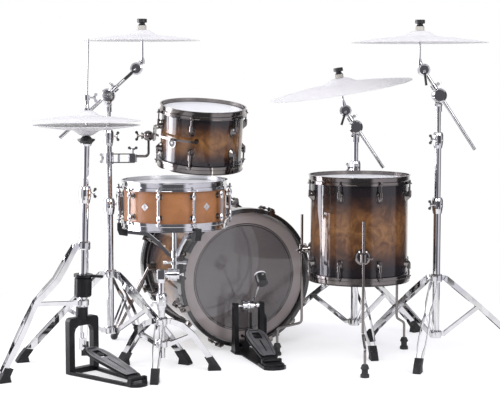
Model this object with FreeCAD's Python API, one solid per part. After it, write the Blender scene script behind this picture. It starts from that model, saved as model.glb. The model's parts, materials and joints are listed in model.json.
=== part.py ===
"""Acoustic drum kit: bass drum, rack tom, floor tom, snare on its stand, hi-hat and three boom stands.

Millimetres, +Z up, floor at Z = 0. The origin is the middle of the bass pedal's base plate, on its underside.
The drummer sits on the -Y side. Each named node is written to parts/NODE.step in this one frame.
"""
import FreeCAD, Part
import math
import os

V = FreeCAD.Vector
UP = V(0, 0, 1)

# ---------- clearances shared by every sub-assembly ----------
GAP = 0.3             # running gap between curved faces that move past each other
SEAT = 0.3            # gap left where a rigid piece rests on another
BORE_GAP = 0.4        # rod in its drilled hole, on the radius

# ---------- drum hardware ----------
SHELL_WALL = 7.0
EDGE_DEPTH = 2.0      # outer flank of the bearing edge
FILM = 0.8            # drum head skin
FLESH_H = 7.0         # flesh hoop of a head
FLESH_T = 5.0
FLESH_DROP = 6.0      # flesh hoop top below the bearing edge
RIM_T = 2.4
RIM_RISE = 15.0       # rim above the bearing edge
RIM_SKIRT = 15.0      # rim below the bearing edge
ROD_R = 3.0
ROD_STANDOFF = 17.0   # tension rod axis outside the shell
EAR_W = 17.0
EAR_T = 3.5

FT_DIA, FT_DEPTH, FT_LUGS = 361.0, 364.0, 8
RT_DIA, RT_DEPTH, RT_LUGS = 304.8, 203.0, 6
SN_DIA, SN_DEPTH, SN_LUGS = 361.0, 140.0, 10
BD_DIA, BD_DEPTH, BD_LUGS = 508.0, 412.0, 8

FT_POS, FT_TURN = V(353, 4, 500), 19.0
TOM_CLAMP_Z = 745.0                # middle of the tom clamp on its stand
RT_POS, RT_LEAN, RT_ROLL, RT_TURN = V(-234, 54, TOM_CLAMP_Z + 92), 8.0, 3.6, 18.0
SN_POS, SN_TURN = V(-322, -214, 611), 5.0
LUG_W, LUG_H = 27.0, 42.0           # small lugs of the toms
LUG_BELOW = 24.0                   # bare rod between a rim and its lug
BAND_Z = 8.0                       # suspension band above the middle of the rack tom
THROW_AZ = 177.0                   # throw-off position round the snare
STRAINER_H, STRAINER_W = 74.0, 30.0
LEG_BRACKET_Z = 411.0              # floor tom leg brackets
LEG_ROD_AT, LEG_ROD_R = 34.0, 5.0  # leg rod outside the shell, and its radius
LEG_JOG_Z = (131.0, 104.0)         # heights of the two bends
LEG_ROD_TOP = 543.0
FT_LEGS = {"front": (270.0, 270.0, 96.0), "left": (169.0, 163.0, 96.0),
           "right": (42.0, 52.0, 56.0)}  # bracket direction, foot direction and foot outside the rod

# ---------- bass drum ----------
BD_FRONT = V(-66, 184, 279.5)      # centre of the batter hoop's front face
BD_YAW, BD_PITCH = 24.0, 1.9
HOOP_W, HOOP_T = 40.0, 15.0        # wooden counterhoop
HOOP_SEAT = 30.0                   # front face to the shoulder on the flesh hoop
BD_STANDOFF = 27.0
CLAW_W = 22.0
SPUR_BACK = 350.0                  # spur bracket behind the batter hoop
SPUR_ANGLE = 90.0                  # round the shell from its top
SPUR_R = 8.0
SPUR_REACH = {"left": (400.0, 415.0), "right": (426.0, 404.0)}   # tip: behind the hoop, and out to the side

# ---------- stands ----------
TUBE_R, MID_R, TOP_R = 14.3, 12.2, 9.5
TUBE_WALL = 1.6
LEG_W, LEG_T, LEG_GAP = 20.0, 2.5, 16.0       # twin leg strips
LEG_BOW = 13.0                                # half gap where the strips bow apart
LEG_KNEE = 6.0                                # bend at the brace pin
BRACE_W, BRACE_T = 14.0, 2.0
PIN_R = 3.0
HINGE_OUT = 19.0      # leg pin outside the tube
FOOT_H, FOOT_W = 52.0, 28.0
BOOM_R = 6.5
DISC_R, DISC_T = 27.0, 14.0      # main tilter casting
TIP_R = 23.0                        # cymbal tilter casting
BODY_T = 36.0                       # boom half of the main tilter
ROD_FOOT = 24.0                     # foot of the cymbal rod above its tilter
ROD_TOP_R = 4.5
CYM_T = 1.6
CYM_BOW = 0.045       # edge below the bell's shoulder, per diameter
CYM_BELL, CYM_BELL_GAIN = 15.0, 0.012
CYM_HOLE = 6.2

LEFT_AT, RIGHT_AT, MID_AT = (-586.0, 96.0), (656.0, 94.0), (362.0, 330.0)
LEFT_LEGS, RIGHT_LEGS, MID_LEGS = (76, 205, 328), (132, 252, 12), (38, 278, 158)
LEFT_BASE, RIGHT_BASE, MID_BASE = 95.0, 79.0, 83.0
LEFT_TOP, RIGHT_TOP, MID_TOP = 312.0, 295.0, 295.0      # upper collars
LEG_REACH = 345.0
LEFT_TOPS = (596.0, 855.0, 986.0)     # first clamp, second clamp, boom pivot
RIGHT_TOPS = (599.0, 846.0, 987.0)
MID_TOPS = (723.0, None, 859.0)

LEFT_CYM, RIGHT_CYM, MID_CYM = 432.0, 508.0, 559.0      # diameters
LEFT_BOOM = (V(-181, 0, -158), V(109, 0, 101))          # tail and tip from the pivot
RIGHT_BOOM = (V(135, 0, -203), V(-60, 0, 95))
MID_BOOM = (V(109, 0, -160), V(-41, 0, 64))
LEFT_ROD = (22.0, V(0, 0, 1), 100.5, V(-1, 0, -0.9))    # foot offset, direction, rise, handle direction
RIGHT_ROD = (-16.0, V(0, 0, 1), 101.0, V(0.14, 0, -1))
MID_ROD = (-8.0, V(-0.16, -0.05, 0.985), 83.5, V(-0.3, 0, -1))

# ---------- hi-hat ----------
HH_AT = (-656.0, -218.0)
HH_LEAN, HH_LEAN_Z = 1.9, 150.0      # lean of the tube to +X in degrees, and where it starts
HH_YAW = -45.2                       # pedal direction from the tube
HH_LEGS, HH_REACH, HH_LEG_TOP, HH_BRACE_Z = (214, 95), 304.0, 460.0, 253.0
HH_CLAMP, HH_SEAT, HH_ROD_TOP = 669.0, 850.0, 1192.0
HH_DIA, HH_OPEN = 381.0, 14.0        # cymbal diameter, gap between the edges
HH_FRAME_W, HH_FRAME_H, HH_FRAME_T = 132.0, 203.0, 24.0
HH_HEEL = 305.0                      # tube to the footboard hinge
HH_LENGTH = 336.0
HH_BOARD, BOARD_T = 299.0, 5.0
PULL_R = 3.0
BOARD_RISE, HH_RISE = 17.0, 14.0     # footboard slopes at rest, degrees
HINGE_Z = 24.0

# ---------- bass pedal ----------
BP_HOOP = V(-74, 179, 0)             # under the batter hoop's front edge
BP_YAW = 17.5
BP_LENGTH, BP_AXLE, BP_AXLE_Z, BP_POSTS = 395.0, 48.0, 181.0, 104.0
BP_HEEL, BP_BOARD = 330.0, 262.0
BEATER_L, BEATER_LEAN, BEATER_R, BEATER_H = 170.0, 45.0, 21.5, 44.0
CAM_R = 24.0
BEATER_OUT = 13.0                    # beater and cam hub, right of the middle of the axle

# ---------- snare stand ----------
SS_AT = (-370.0, -214.0)
SS_LEGS, SS_REACH, SS_LEG_TOP, SS_BASE = (8, 143, 266), 188.0, 184.0, 102.0
SS_CLAMP, SS_TILT, SS_HUB, SS_STEM = 283.0, 354.0, 426.0, 504.0
BASKET_ARMS = (177, 297, 57)

# ---------- tom holder ----------
BALL = V(-436, 92, TOM_CLAMP_Z + 90)  # swivel of the rack tom
ARM_Z = TOM_CLAMP_Z + 13
ARM_START = V(-509, 96, ARM_Z)
ARM_R = 5.3
SWIVEL_R = 10.0

PARTS = {}


# ---------- small geometry helpers ----------
def unit(v):
    return V(v).normalize()


def polar(r, az, z=0.0):
    a = math.radians(az)
    return V(r * math.cos(a), r * math.sin(a), z)


def face(points):
    return Part.Face(Part.makePolygon(points + points[:1]))


def revolved(profile, angle=360.0):
    """Solid of revolution about Z from (radius, height) points."""
    return face([V(r, 0, z) for r, z in profile]).revolve(V(0, 0, 0), UP, angle)


def prism(outline, height, z=0.0):
    """Extrusion along Z of (x, y) points."""
    return face([V(x, y, z) for x, y in outline]).extrude(V(0, 0, height))


def side_prism(outline, width):
    """Extrusion of (x, z) points, centred across Y."""
    return face([V(x, -width / 2, z) for x, z in outline]).extrude(V(0, width, 0))


def rod(p, q, r):
    return Part.makeCylinder(r, q.sub(p).Length, p, q.sub(p))


def pipe(p, q, outer, inner):
    d = unit(q.sub(p))
    return rod(p, q, outer).cut(rod(p.sub(d), q.add(d), inner))


def box(x, y, z, dx, dy, dz):
    """Box from its middle in X and Y and its lower Z."""
    return Part.makeBox(dx, dy, dz, V(x - dx / 2, y - dy / 2, z))


def rounded(x, y, z, dx, dy, dz, r):
    """Box with its vertical edges rounded."""
    b = box(x, y, z, dx, dy, dz)
    return b.makeFillet(r, [e for e in b.Edges if abs(e.tangentAt(e.FirstParameter).z) > 0.99])


def turned(shape, az, at=V(0, 0, 0)):
    """Copy turned about Z by az degrees, then moved."""
    s = shape.copy()
    s.Placement = FreeCAD.Placement(at, FreeCAD.Rotation(UP, az)).multiply(s.Placement)
    return s


def aimed(shape, at, z_dir, x_dir=V(1, 0, 0)):
    """Copy whose local Z points along z_dir, with local X as near x_dir as it can be."""
    z = unit(z_dir)
    y = unit(z.cross(x_dir))
    s = shape.copy()
    s.Placement = FreeCAD.Placement(at, FreeCAD.Rotation(y.cross(z), y, z, "ZXY")).multiply(s.Placement)
    return s


def flipped(shape):
    """Copy turned upside down about the X axis."""
    s = shape.copy()
    s.rotate(V(0, 0, 0), V(1, 0, 0), 180)
    return s


def fused(shapes):
    return shapes[0].fuse(shapes[1:]).removeSplitter() if len(shapes) > 1 else shapes[0]


def keep(node, *shapes):
    """Add solids to a node."""
    for s in shapes:
        PARTS.setdefault(node, []).extend(s.Solids)


def bent_rod(points, r, bend):
    """Round bar along straight runs joined by tangent arcs."""
    edges, start = [], points[0]
    for a, b, c in zip(points, points[1:], points[2:]):
        u, w = unit(a.sub(b)), unit(c.sub(b))
        half = u.getAngle(w) / 2
        cut = bend / math.tan(half)
        p, q = b.add(u * cut), b.add(w * cut)
        mid = b.add(unit(u.add(w)) * (bend / math.sin(half) - bend))
        edges += [Part.LineSegment(start, p).toShape(), Part.Arc(p, mid, q).toShape()]
        start = q
    edges.append(Part.LineSegment(start, points[-1]).toShape())
    ring = Part.Wire([Part.Circle(points[0], points[1].sub(points[0]), r).toShape()])
    return Part.Wire(edges).makePipeShell([ring], True, False)


def strip(path, width, y, thick):
    """Flat bar following an (r, z) path in the XZ plane, from y to y + thick."""
    left, right = [], []
    for i, (r, z) in enumerate(path):
        a, b = path[max(i - 1, 0)], path[min(i + 1, len(path) - 1)]
        d0 = unit(V(r - a[0], 0, z - a[1])) if i else unit(V(b[0] - r, 0, b[1] - z))
        d1 = unit(V(b[0] - r, 0, b[1] - z)) if i < len(path) - 1 else d0
        m = unit(d0.add(d1))
        n = V(-m.z, 0, m.x) * (width / 2 / m.dot(d0))
        left.append(V(r + n.x, y, z + n.z))
        right.append(V(r - n.x, y, z - n.z))
    return face(left + right[::-1]).extrude(V(0, thick, 0))


# ---------- drums ----------
def shell(dia, depth):
    """Drum shell with 45 degree bearing edges."""
    r, h, e = dia / 2, depth / 2, EDGE_DEPTH
    inner = r - SHELL_WALL
    drop = SHELL_WALL - e
    return revolved([(inner, -h + drop), (r - e, -h), (r, -h + e), (r, h - e), (r - e, h), (inner, h - drop)])


def head(dia):
    """Skin, collar and flesh hoop; the bearing edge is at Z = 0."""
    r, e = dia / 2, EDGE_DEPTH
    low = -FLESH_DROP - FLESH_H
    return revolved([(0, 0), (r - e, 0), (r + .4, -e - .4), (r + .4, -FLESH_DROP), (r + 1, -FLESH_DROP),
                     (r + 1, low), (r + 1 + FLESH_T, low), (r + 1 + FLESH_T, -FLESH_DROP),
                     (r + 1.3, -FLESH_DROP), (r + 1.3, -e + .2), (r - e + .3, FILM), (0, FILM)])


def rim(dia, lugs):
    """Flanged steel hoop with an ear for each tension rod; the bearing edge is at Z = 0."""
    r, t = dia / 2, RIM_T
    wall, neck, low = r + 1.4 + FLESH_T, r + 3.4, -RIM_SKIRT
    ring = revolved([(wall, low), (wall + 4.6, low), (wall + 4.6, low + 2), (wall + t, low + 2.6), (wall + t, -4.4),
                     (neck + t, -2), (neck + t, RIM_RISE - 4), (neck + t + 3, RIM_RISE - 2),
                     (neck + t + 3, RIM_RISE), (neck, RIM_RISE), (neck, -FLESH_DROP), (wall, -FLESH_DROP)])
    at, w = r + ROD_STANDOFF, EAR_W / 2
    root = wall + t - 0.6
    ear = prism([(root, -w), (at + 2, -w), (at + 7, -w + 4), (at + 7, w - 4), (at + 2, w), (root, w)],
                EAR_T, low + 0.6)
    ear = ear.cut(Part.makeCylinder(ROD_R + BORE_GAP, EAR_T + 2, V(at, 0, low - 1)))
    return fused([ring] + [turned(ear, 360.0 * k / lugs) for k in range(lugs)])


def tension_rod(dia, length):
    """Rod with its key head and washer, hanging from a rim ear at azimuth 0."""
    x, top = dia / 2 + ROD_STANDOFF, -RIM_SKIRT + 0.6 + EAR_T
    head_part = fused([Part.makeCylinder(6.2, 1.6, V(x, 0, top)), Part.makeCylinder(4.6, 3, V(x, 0, top + 1.6)),
                       box(x, 0, top + 4.6, 6, 6, 6)])
    return fused([head_part, Part.makeCylinder(ROD_R, length, V(x, 0, top - length))])


def oval(x, width, low, high):
    """Closed outline in a plane of constant X, from Z = -low to Z = high."""
    points = []
    for k in range(12):
        a = math.radians(30 * k)
        points.append(V(x, width / 2 * math.sin(a), (high if math.cos(a) > 0 else low) * math.cos(a)))
    return Part.makePolygon(points + points[:1])


def lug(standoff, length, width=LUG_W, barrel=6.4):
    """Cast lug on its gasket: teardrop body and threaded barrel; X is outward and Z along the rod."""
    h = length / 2
    gasket = Part.Face(oval(0, width, h, h)).extrude(V(2, 0, 0))
    body = Part.makeLoft([oval(2, width - 3, h - 1.5, h - 1.5), oval(standoff * .55, width * .72, h * .7, h * .85),
                          oval(standoff + barrel * .7, barrel * 1.2, h * .15, h * .7)], True, True)
    sleeve = Part.makeCylinder(barrel, h * .95, V(standoff, 0, h * .1))
    bore = Part.makeCylinder(ROD_R + BORE_GAP, h, V(standoff, 0, h * .55))
    return fused([gasket, body, sleeve]).cut(bore)


def drum_local(dia, depth, lugs, turn):
    """Rims, heads, lugs and rods of a tom, in the drum's own frame."""
    h, r = depth / 2, dia / 2
    lug_z = h - RIM_SKIRT - LUG_BELOW - LUG_H / 2
    one_rod = tension_rod(dia, h - RIM_SKIRT + .6 + EAR_T - lug_z - LUG_H * .3)
    one_rod.translate(V(0, 0, h))
    one_lug = lug(ROD_STANDOFF, LUG_H)
    one_lug.translate(V(r, 0, lug_z))
    one_rim, one_head = rim(dia, lugs), head(dia)
    for s in (one_rim, one_head):
        s.translate(V(0, 0, h))
    fit = [turned(s, turn + 360.0 * k / lugs) for k in range(lugs) for s in (one_lug, one_rod)]
    top_rim = turned(one_rim, turn)
    return {"shell": [shell(dia, depth)], "rims": [top_rim, mirrored(top_rim)],
            "heads": [one_head, mirrored(one_head)], "lugs": fit + [mirrored(s) for s in fit]}


def mirrored(shape):
    """Mirror image in the drum's middle plane."""
    return shape.mirror(V(0, 0, 0), UP)


def make_floor_tom():
    local = drum_local(FT_DIA, FT_DEPTH, FT_LUGS, FT_TURN)
    for name, shapes in local.items():
        keep("floor_tom_" + name, *[turned(s, 0, FT_POS) for s in shapes])
    r = FT_DIA / 2
    for node, (az, foot_az, jog) in FT_LEGS.items():
        keep("floor_tom_brackets", turned(leg_bracket(r), az, V(FT_POS.x, FT_POS.y, LEG_BRACKET_Z)))
        top = FT_POS.add(polar(r + LEG_ROD_AT, az))
        low = top.add(polar(jog, foot_az))
        high_z, low_z = LEG_JOG_Z
        leg = bent_rod([V(top.x, top.y, LEG_ROD_TOP), V(top.x, top.y, high_z), V(low.x, low.y, low_z),
                        V(low.x, low.y, 12)], LEG_ROD_R, 18)
        foot = revolved([(0, 0), (16, 0), (16, 10), (11.5, 15), (11.5, 27), (16, 32), (11, 45), (8, 47), (0, 47)])
        foot.translate(V(low.x, low.y, 0))
        keep("floor_tom_leg_" + node, leg, foot.cut(leg))


def leg_bracket(r):
    """Leg bracket: round gasket and rosette, bored barrel and wing bolt. X is outward, Z = 0 at its middle."""
    at = r + LEG_ROD_AT
    rosette = aimed(revolved([(0, 0), (29, 0), (29, 2.5), (26, 3), (26, 6), (21, 9), (0, 10)]), V(r, 0, 0),
                    V(1, 0, 0), UP)
    neck = rod(V(r + 5, 0, 0), V(at, 0, 0), 13)
    barrel = revolved([(0, -17), (11, -17), (13, -14), (13, 14), (11, 17), (0, 17)])
    barrel.translate(V(at, 0, 0))
    bolt = aimed(wing_bolt(22, 24), V(at, 8, 0), V(0, 1, 0))
    bore = Part.makeCylinder(LEG_ROD_R + GAP, 60, V(at, 0, -30))
    return fused([rosette, neck, barrel, bolt]).cut(bore)


def wing_bolt(stem, span):
    """Wing bolt on a Z stem starting at Z = 0: hub, cross bar and two round lobes."""
    bar = side_prism([(-span / 2, stem - 2), (-4, stem - 5), (4, stem - 5), (span / 2, stem - 2),
                      (span / 2, stem + 6), (5, stem + 2), (-5, stem + 2), (-span / 2, stem + 6)], 4.2)
    lobes = [rod(V(x, -2.6, stem + 3), V(x, 2.6, stem + 3), 5.6) for x in (-span / 2, span / 2)]
    return fused([Part.makeCylinder(3.2, stem), Part.makeCylinder(6, 7, V(0, 0, stem - 6)), bar] + lobes)


def make_rack_tom():
    """Rack tom with its suspension band, leaning towards the drummer."""
    lean, roll = math.radians(RT_LEAN), math.radians(RT_ROLL)
    axis = V(math.sin(roll), -math.sin(lean), math.cos(lean))
    local = drum_local(RT_DIA, RT_DEPTH, RT_LUGS, RT_TURN)
    for name, shapes in local.items():
        keep("rack_tom_" + name, *[aimed(s, RT_POS, axis) for s in shapes])
    r = RT_DIA / 2
    inner = r + ROD_STANDOFF + 9
    band = turned(revolved([(inner, -4), (inner + 3, -4), (inner + 3, 4), (inner, 4)], 176), 91)
    ends = [turned(fused([rod(V(r, 0, 0), V(inner + 1, 0, 0), 5), Part.makeCylinder(8, 3, V(r, 0, 0), V(1, 0, 0))]), az)
            for az in (95, 265)]
    for s in [band] + ends:
        s.translate(V(0, 0, BAND_Z))
    ball = aimed(Part.makeSphere(1), V(0, 0, 0), axis).Placement.Rotation.inverted().multVec(BALL.sub(RT_POS))
    az, reach = math.degrees(math.atan2(ball.y, ball.x)), math.hypot(ball.x, ball.y)
    plate = rounded(0, 0, 0, 60, 38, 4, 8)
    plate.rotate(V(0, 0, 0), V(0, 1, 0), 90)
    plate.translate(V(inner, 0, (ball.z + BAND_Z) / 2))
    cup = side_prism([(inner + 1, ball.z - 12), (reach, ball.z - 9), (reach, ball.z + 9), (inner + 1, ball.z + 14)], 22)
    housing = Part.makeSphere(20, V(reach, 0, ball.z))
    mouth = Part.makeCone(9, 15, 26, V(reach, 0, ball.z - 3), V(0, 0, -1))
    neck = turned(fused([plate, cup, housing]).cut(mouth), az)
    hollow = rod(BALL.add(V(10.3, 0, 0)), BALL.add(V(-60, 0, 0)), SWIVEL_R + GAP)
    keep("rack_tom_hanger", aimed(fused([band] + ends + [neck]), RT_POS, axis).cut(hollow))


def make_snare():
    """Snare drum: steel rims, tube lugs, throw-off at the left, butt plate and wires."""
    h, r = SN_DEPTH / 2, SN_DIA / 2
    keep("snare_shell", turned(shell(SN_DIA, SN_DEPTH), 0, SN_POS))
    one_rim, one_head = rim(SN_DIA, SN_LUGS), head(SN_DIA)
    for s in (one_rim, one_head):
        s.translate(V(0, 0, h))
    at, end, seat = r + ROD_STANDOFF, h * .72, h * .52
    half = [(0, -end), (4.6, -end), (7.6, -end + 7), (7.6, -end + 14), (4.8, -end + 23)]
    tube = revolved(half + [(a, -z) for a, z in half[::-1]])
    tube.translate(V(at, 0, 0))
    post = fused([tube] + [rod(V(r + 1, 0, z), V(at, 0, z), 5) for z in (seat, -seat)]
                 + [rod(V(r, 0, z), V(r + 3, 0, z), 10) for z in (seat, -seat)])
    bores = [Part.makeCylinder(ROD_R + BORE_GAP, 40, V(at, 0, z)) for z in (end - 18, -end - 22)]
    post = post.cut(bores[0]).cut(bores[1])
    one_rod = tension_rod(SN_DIA, h - RIM_SKIRT + .6 + EAR_T - end + 12)
    one_rod.translate(V(0, 0, h))
    for k in range(SN_LUGS):
        az = SN_TURN + 360.0 * k / SN_LUGS
        keep("snare_lugs", *[turned(s, az, SN_POS) for s in (post, one_rod, mirrored(one_rod))])
    top = turned(one_rim, SN_TURN)
    keep("snare_rims", turned(top, 0, SN_POS), turned(mirrored(top), 0, SN_POS))
    keep("snare_heads", turned(one_head, 0, SN_POS), turned(mirrored(one_head), 0, SN_POS))
    make_strainer(r, h)


def make_strainer(r, h):
    """Throw-off with its lever, the butt opposite, and the snare wires under the lower head."""
    plate = rounded(0, 0, 0, STRAINER_H, STRAINER_W, 3, 6)
    plate.rotate(V(0, 0, 0), V(0, 1, 0), 90)
    plate.translate(V(r, 0, -8))
    body = side_prism([(r + 2, -40), (r + 16, -36), (r + 20, -20), (r + 20, 6), (r + 12, 20), (r + 2, 24)], 20)
    knob = Part.makeCylinder(5, 12, V(r + 11, 0, 18))
    slide = box(r + 12, 0, -53, 4, 16, 16)
    off = fused([plate, body, knob, slide])
    pivot = V(r + 14, 0, -22)
    off = off.cut(rod(pivot.add(V(0, -20, 0)), pivot.add(V(0, 20, 0)), 3 + GAP))
    cheek = side_prism([(r + 10.5, -26), (r + 17, -26), (r + 27, 30), (r + 25, 34), (r + 21, 32), (r + 12, -17)], 3)
    lever = fused([rod(pivot.add(V(0, -12.6, 0)), pivot.add(V(0, 12.6, 0)), 3), box(r + 22.4, 0, 22, 3.6, 25, 8)]
                  + [cheek.translated(V(0, y, 0)) for y in (-11.9, 11.9)])
    keep("snare_throw_off", turned(off, THROW_AZ, SN_POS))
    keep("snare_throw_lever", turned(lever, THROW_AZ, SN_POS))
    butt = fused([plate, side_prism([(r + 2, -38), (r + 10, -36), (r + 12, -20), (r + 2, -12)], 24),
                  box(r + 8, 0, -53, 4, 16, 18)])
    keep("snare_butt", turned(butt, THROW_AZ + 180, SN_POS))
    z = -h - FILM - SEAT
    ends = [box(x, 0, z - 2.2, 12, 42, 2.2) for x in (-r + 34, r - 34)]
    wires = [Part.makeBox(2 * r - 80, 1.0, 1.0, V(-r + 40, -18.0 + 4 * k, z - 1.6)) for k in range(10)]
    keep("snare_wires", turned(fused(ends + wires), THROW_AZ, SN_POS))


# ---------- bass drum ----------
def bass_frame():
    """Middle of the bass drum, its axis towards the drummer, and an upright cross direction."""
    yaw, pitch = math.radians(BD_YAW), math.radians(BD_PITCH)
    axis = V(math.sin(yaw) * math.cos(pitch), -math.cos(yaw) * math.cos(pitch), -math.sin(pitch))
    half = BD_DEPTH / 2 + HOOP_SEAT - FLESH_DROP
    return BD_FRONT.sub(axis * half), axis, half


def make_bass_drum():
    mid, axis, half = bass_frame()
    up = unit(UP.sub(axis * UP.dot(axis)))

    def put(node, *shapes):
        keep(node, *[aimed(s, mid, axis, up) for s in shapes])

    h, r = BD_DEPTH / 2, BD_DIA / 2
    put("bass_shell", shell(BD_DIA, BD_DEPTH))
    skin = head(BD_DIA)
    skin.translate(V(0, 0, h))
    put("bass_heads", skin, mirrored(skin))
    outer = r + 1 + FLESH_T + .5 + HOOP_T - 3
    seat = half - HOOP_SEAT
    rabbet = r + 1 + FLESH_T + .4
    hoop = revolved([(r + 3, half - 1.5), (r + 4.5, half), (outer - 1.5, half), (outer, half - 1.5),
                     (outer, half - HOOP_W), (rabbet, half - HOOP_W), (rabbet, seat), (r + 3, seat)])
    put("bass_hoops", hoop, mirrored(hoop))
    at = r + BD_STANDOFF
    claw = side_prism([(r + 5, half), (r + 5, half + 4), (outer + 5, half + 4), (at + 7, half - 14),
                       (at + 7, half - 26), (at - 6, half - 26), (outer + .4, half - 18), (outer + .4, half)], CLAW_W)
    claw = claw.cut(Part.makeCylinder(ROD_R + BORE_GAP, 50, V(at, 0, half - 30)))
    claw = claw.cut(Part.makeCylinder(7, 20, V(at, 0, half - 15)))
    lug_z = 118.0
    bolt = fused([Part.makeCylinder(6, 3, V(at, 0, half - 15)), box(at, 0, half - 12, 6, 6, 8),
                  Part.makeCylinder(ROD_R, half - 15 - lug_z - 18, V(at, 0, lug_z + 18))])
    one_lug = lug(BD_STANDOFF, 62.0, 30.0, 6.8)
    one_lug.translate(V(r, 0, lug_z))
    for k in range(BD_LUGS):
        az = 360.0 * (k + .5) / BD_LUGS
        c, b, g = (turned(s, az) for s in (claw, bolt, one_lug))
        put("bass_claws", c, b, mirrored(c), mirrored(b))
        put("bass_lugs", g, mirrored(g))
    make_spurs(mid, axis, up, half)


def make_spurs(mid, axis, up, half):
    """Two folding spurs. Each turns on a pin through its bracket."""
    left = up.cross(axis)
    for name, side in (("left", -1), ("right", 1)):
        out = unit(left * side)
        a = math.radians(SPUR_ANGLE)
        radial = up * math.cos(a) + out * math.sin(a)
        back = axis * (half - SPUR_BACK)
        seat = mid.add(back).add(radial * (BD_DIA / 2))
        hub = seat.add(radial * 20)
        tip = BD_FRONT.sub(axis * SPUR_REACH[name][0]).add(out * SPUR_REACH[name][1])
        tip = V(tip.x, tip.y, 0)
        d = unit(tip.sub(hub))
        plate = rounded(0, 0, 0, 54, 44, 4, 9)
        base = aimed(fused([plate, Part.makeCylinder(17, 10, V(0, 0, 3))]), seat, radial, axis)
        bore = rod(seat, hub.add(radial * 30), 5 + GAP)
        keep("bass_spur_brackets", base.cut(bore))
        eye = aimed(fused([Part.makeCylinder(16, 14, V(0, 0, -6.7)), Part.makeCylinder(5, 14, V(0, 0, -16.7))]),
                    hub, radial, axis)
        end = tip.sub(d * 12)
        leg = fused([rod(hub, end, SPUR_R), rod(hub.add(d * 60), hub.add(d * 120), SPUR_R + 3)])
        keep("bass_spur_" + name, fused([eye, leg]), spur_tip(tip, d, leg))


def spur_tip(tip, d, leg):
    """Rubber ball foot on the end of a spur, flat on the floor."""
    ball = Part.makeSphere(15, tip.sub(d * 15))
    foot = fused([ball, rod(tip.sub(d * 45), tip.sub(d * 15), 13)])
    floor_cut = Part.makeBox(200, 200, 60, V(tip.x - 100, tip.y - 100, -60))
    return foot.cut(floor_cut).cut(leg)


# ---------- stands ----------
def clamp(top, r, az, held):
    """Height clamp on a tube that ends at Z = top: tapered split casting, ears and T-bolt round a held tube."""
    body = revolved([(r, -58), (r + 3, -58), (r + 5.5, -46), (r + 7.5, -32), (r + 7.5, -8), (r + 5, 0),
                     (r + 3, 3), (held + GAP, 3), (held + GAP, 0), (r, 0)])
    ears = rounded(r + 11, 0, -38, 24, 19, 30, 4)
    bolt = aimed(wing_bolt(24, 26), V(r + 15, -6, -23), V(0, -1, 0), UP)
    boss = rod(V(r + 15, 8, -23), V(r + 15, 13, -23), 6.5)
    slot = box(r + 13, 0, -60, 26, 2.2, 70)
    piece = fused([body, ears.cut(slot), boss, bolt]).cut(Part.makeCylinder(r, 60, V(0, 0, -60)))
    return turned(piece, az, top)


def leg_pair(path, az, at, pinched):
    """Twin leg strips on two pins, bowed apart between the radii in pinched."""
    y, t = LEG_GAP / 2, LEG_T
    plan = [(pinched[0] - 30, y), (pinched[0] + 8, y)]
    for a, b in zip(pinched, pinched[1:]):
        plan += [(a + 34, LEG_BOW), (b - 34, LEG_BOW), (b - 10, y), (b + 10, y)]
    plan[-1] = (pinched[-1] + 30, y)
    side = strip(path, LEG_W, -60, 120)
    bars = [side.common(prism([(x, s * g) for x, g in plan] + [(x, s * (g + t)) for x, g in plan[::-1]], 900, -50))
            for s in (-1, 1)]
    (a, b), (c, d) = path[-1], path[-2]
    share = (a - pinched[-1]) / (a - c)
    ends = [path[0], (pinched[-1], b + (d - b) * share)]
    pins = [rod(V(p[0], -y - .5, p[1]), V(p[0], y + .5, p[1]), PIN_R) for p in ends]
    return turned(fused(bars + pins), az, at)





def brace(p, q, az, at):
    """Twin brace strips just inside the leg strips, from the base ear to the leg."""
    y = LEG_GAP / 2 - BRACE_T
    pin = rod(V(q[0], -y - .2, q[1]), V(q[0], y + .2, q[1]), PIN_R)
    pair = fused([strip([p, q], BRACE_W, -y - BRACE_T, BRACE_T), strip([p, q], BRACE_W, y, BRACE_T), pin])
    return turned(pair, az, at)


def collar(z, r, legs, at, height=30.0, pinned=False):
    """Cast collar with one ear between each pair of strips, drilled for the leg pin where pinned."""
    width = LEG_GAP - 2 * BRACE_T - .4
    body = revolved([(r, 0), (r + 7, 0), (r + 9, 5), (r + 9, height - 5), (r + 6, height), (r, height)])
    ear = box(r + 14, 0, height / 2 - 9, 18, width, 18)
    if pinned:
        ear = ear.cut(rod(V(r + HINGE_OUT, -width, height / 2), V(r + HINGE_OUT, width, height / 2), PIN_R + .1))
    piece = fused([body] + [turned(ear, az) for az in legs]).cut(Part.makeCylinder(r, height + 40, V(0, 0, -20)))
    return turned(piece, 0, V(at[0], at[1], z - height / 2))


def rubber_foot(reach, z_top, leg, az, at, lean=0.45):
    """Moulded rubber foot pushed over the end of a leg."""
    run = z_top * lean
    side = [(reach - 22, 0), (reach + 24, 0), (reach + 26, 6), (reach + 11, z_top * .55), (reach - run + 13, z_top),
            (reach - run - 15, z_top * .88), (reach - 18, z_top * .4)]
    foot = turned(side_prism(side, FOOT_W), az, at)
    return max(foot.cut(leg).Solids, key=lambda solid: solid.Volume)


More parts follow.
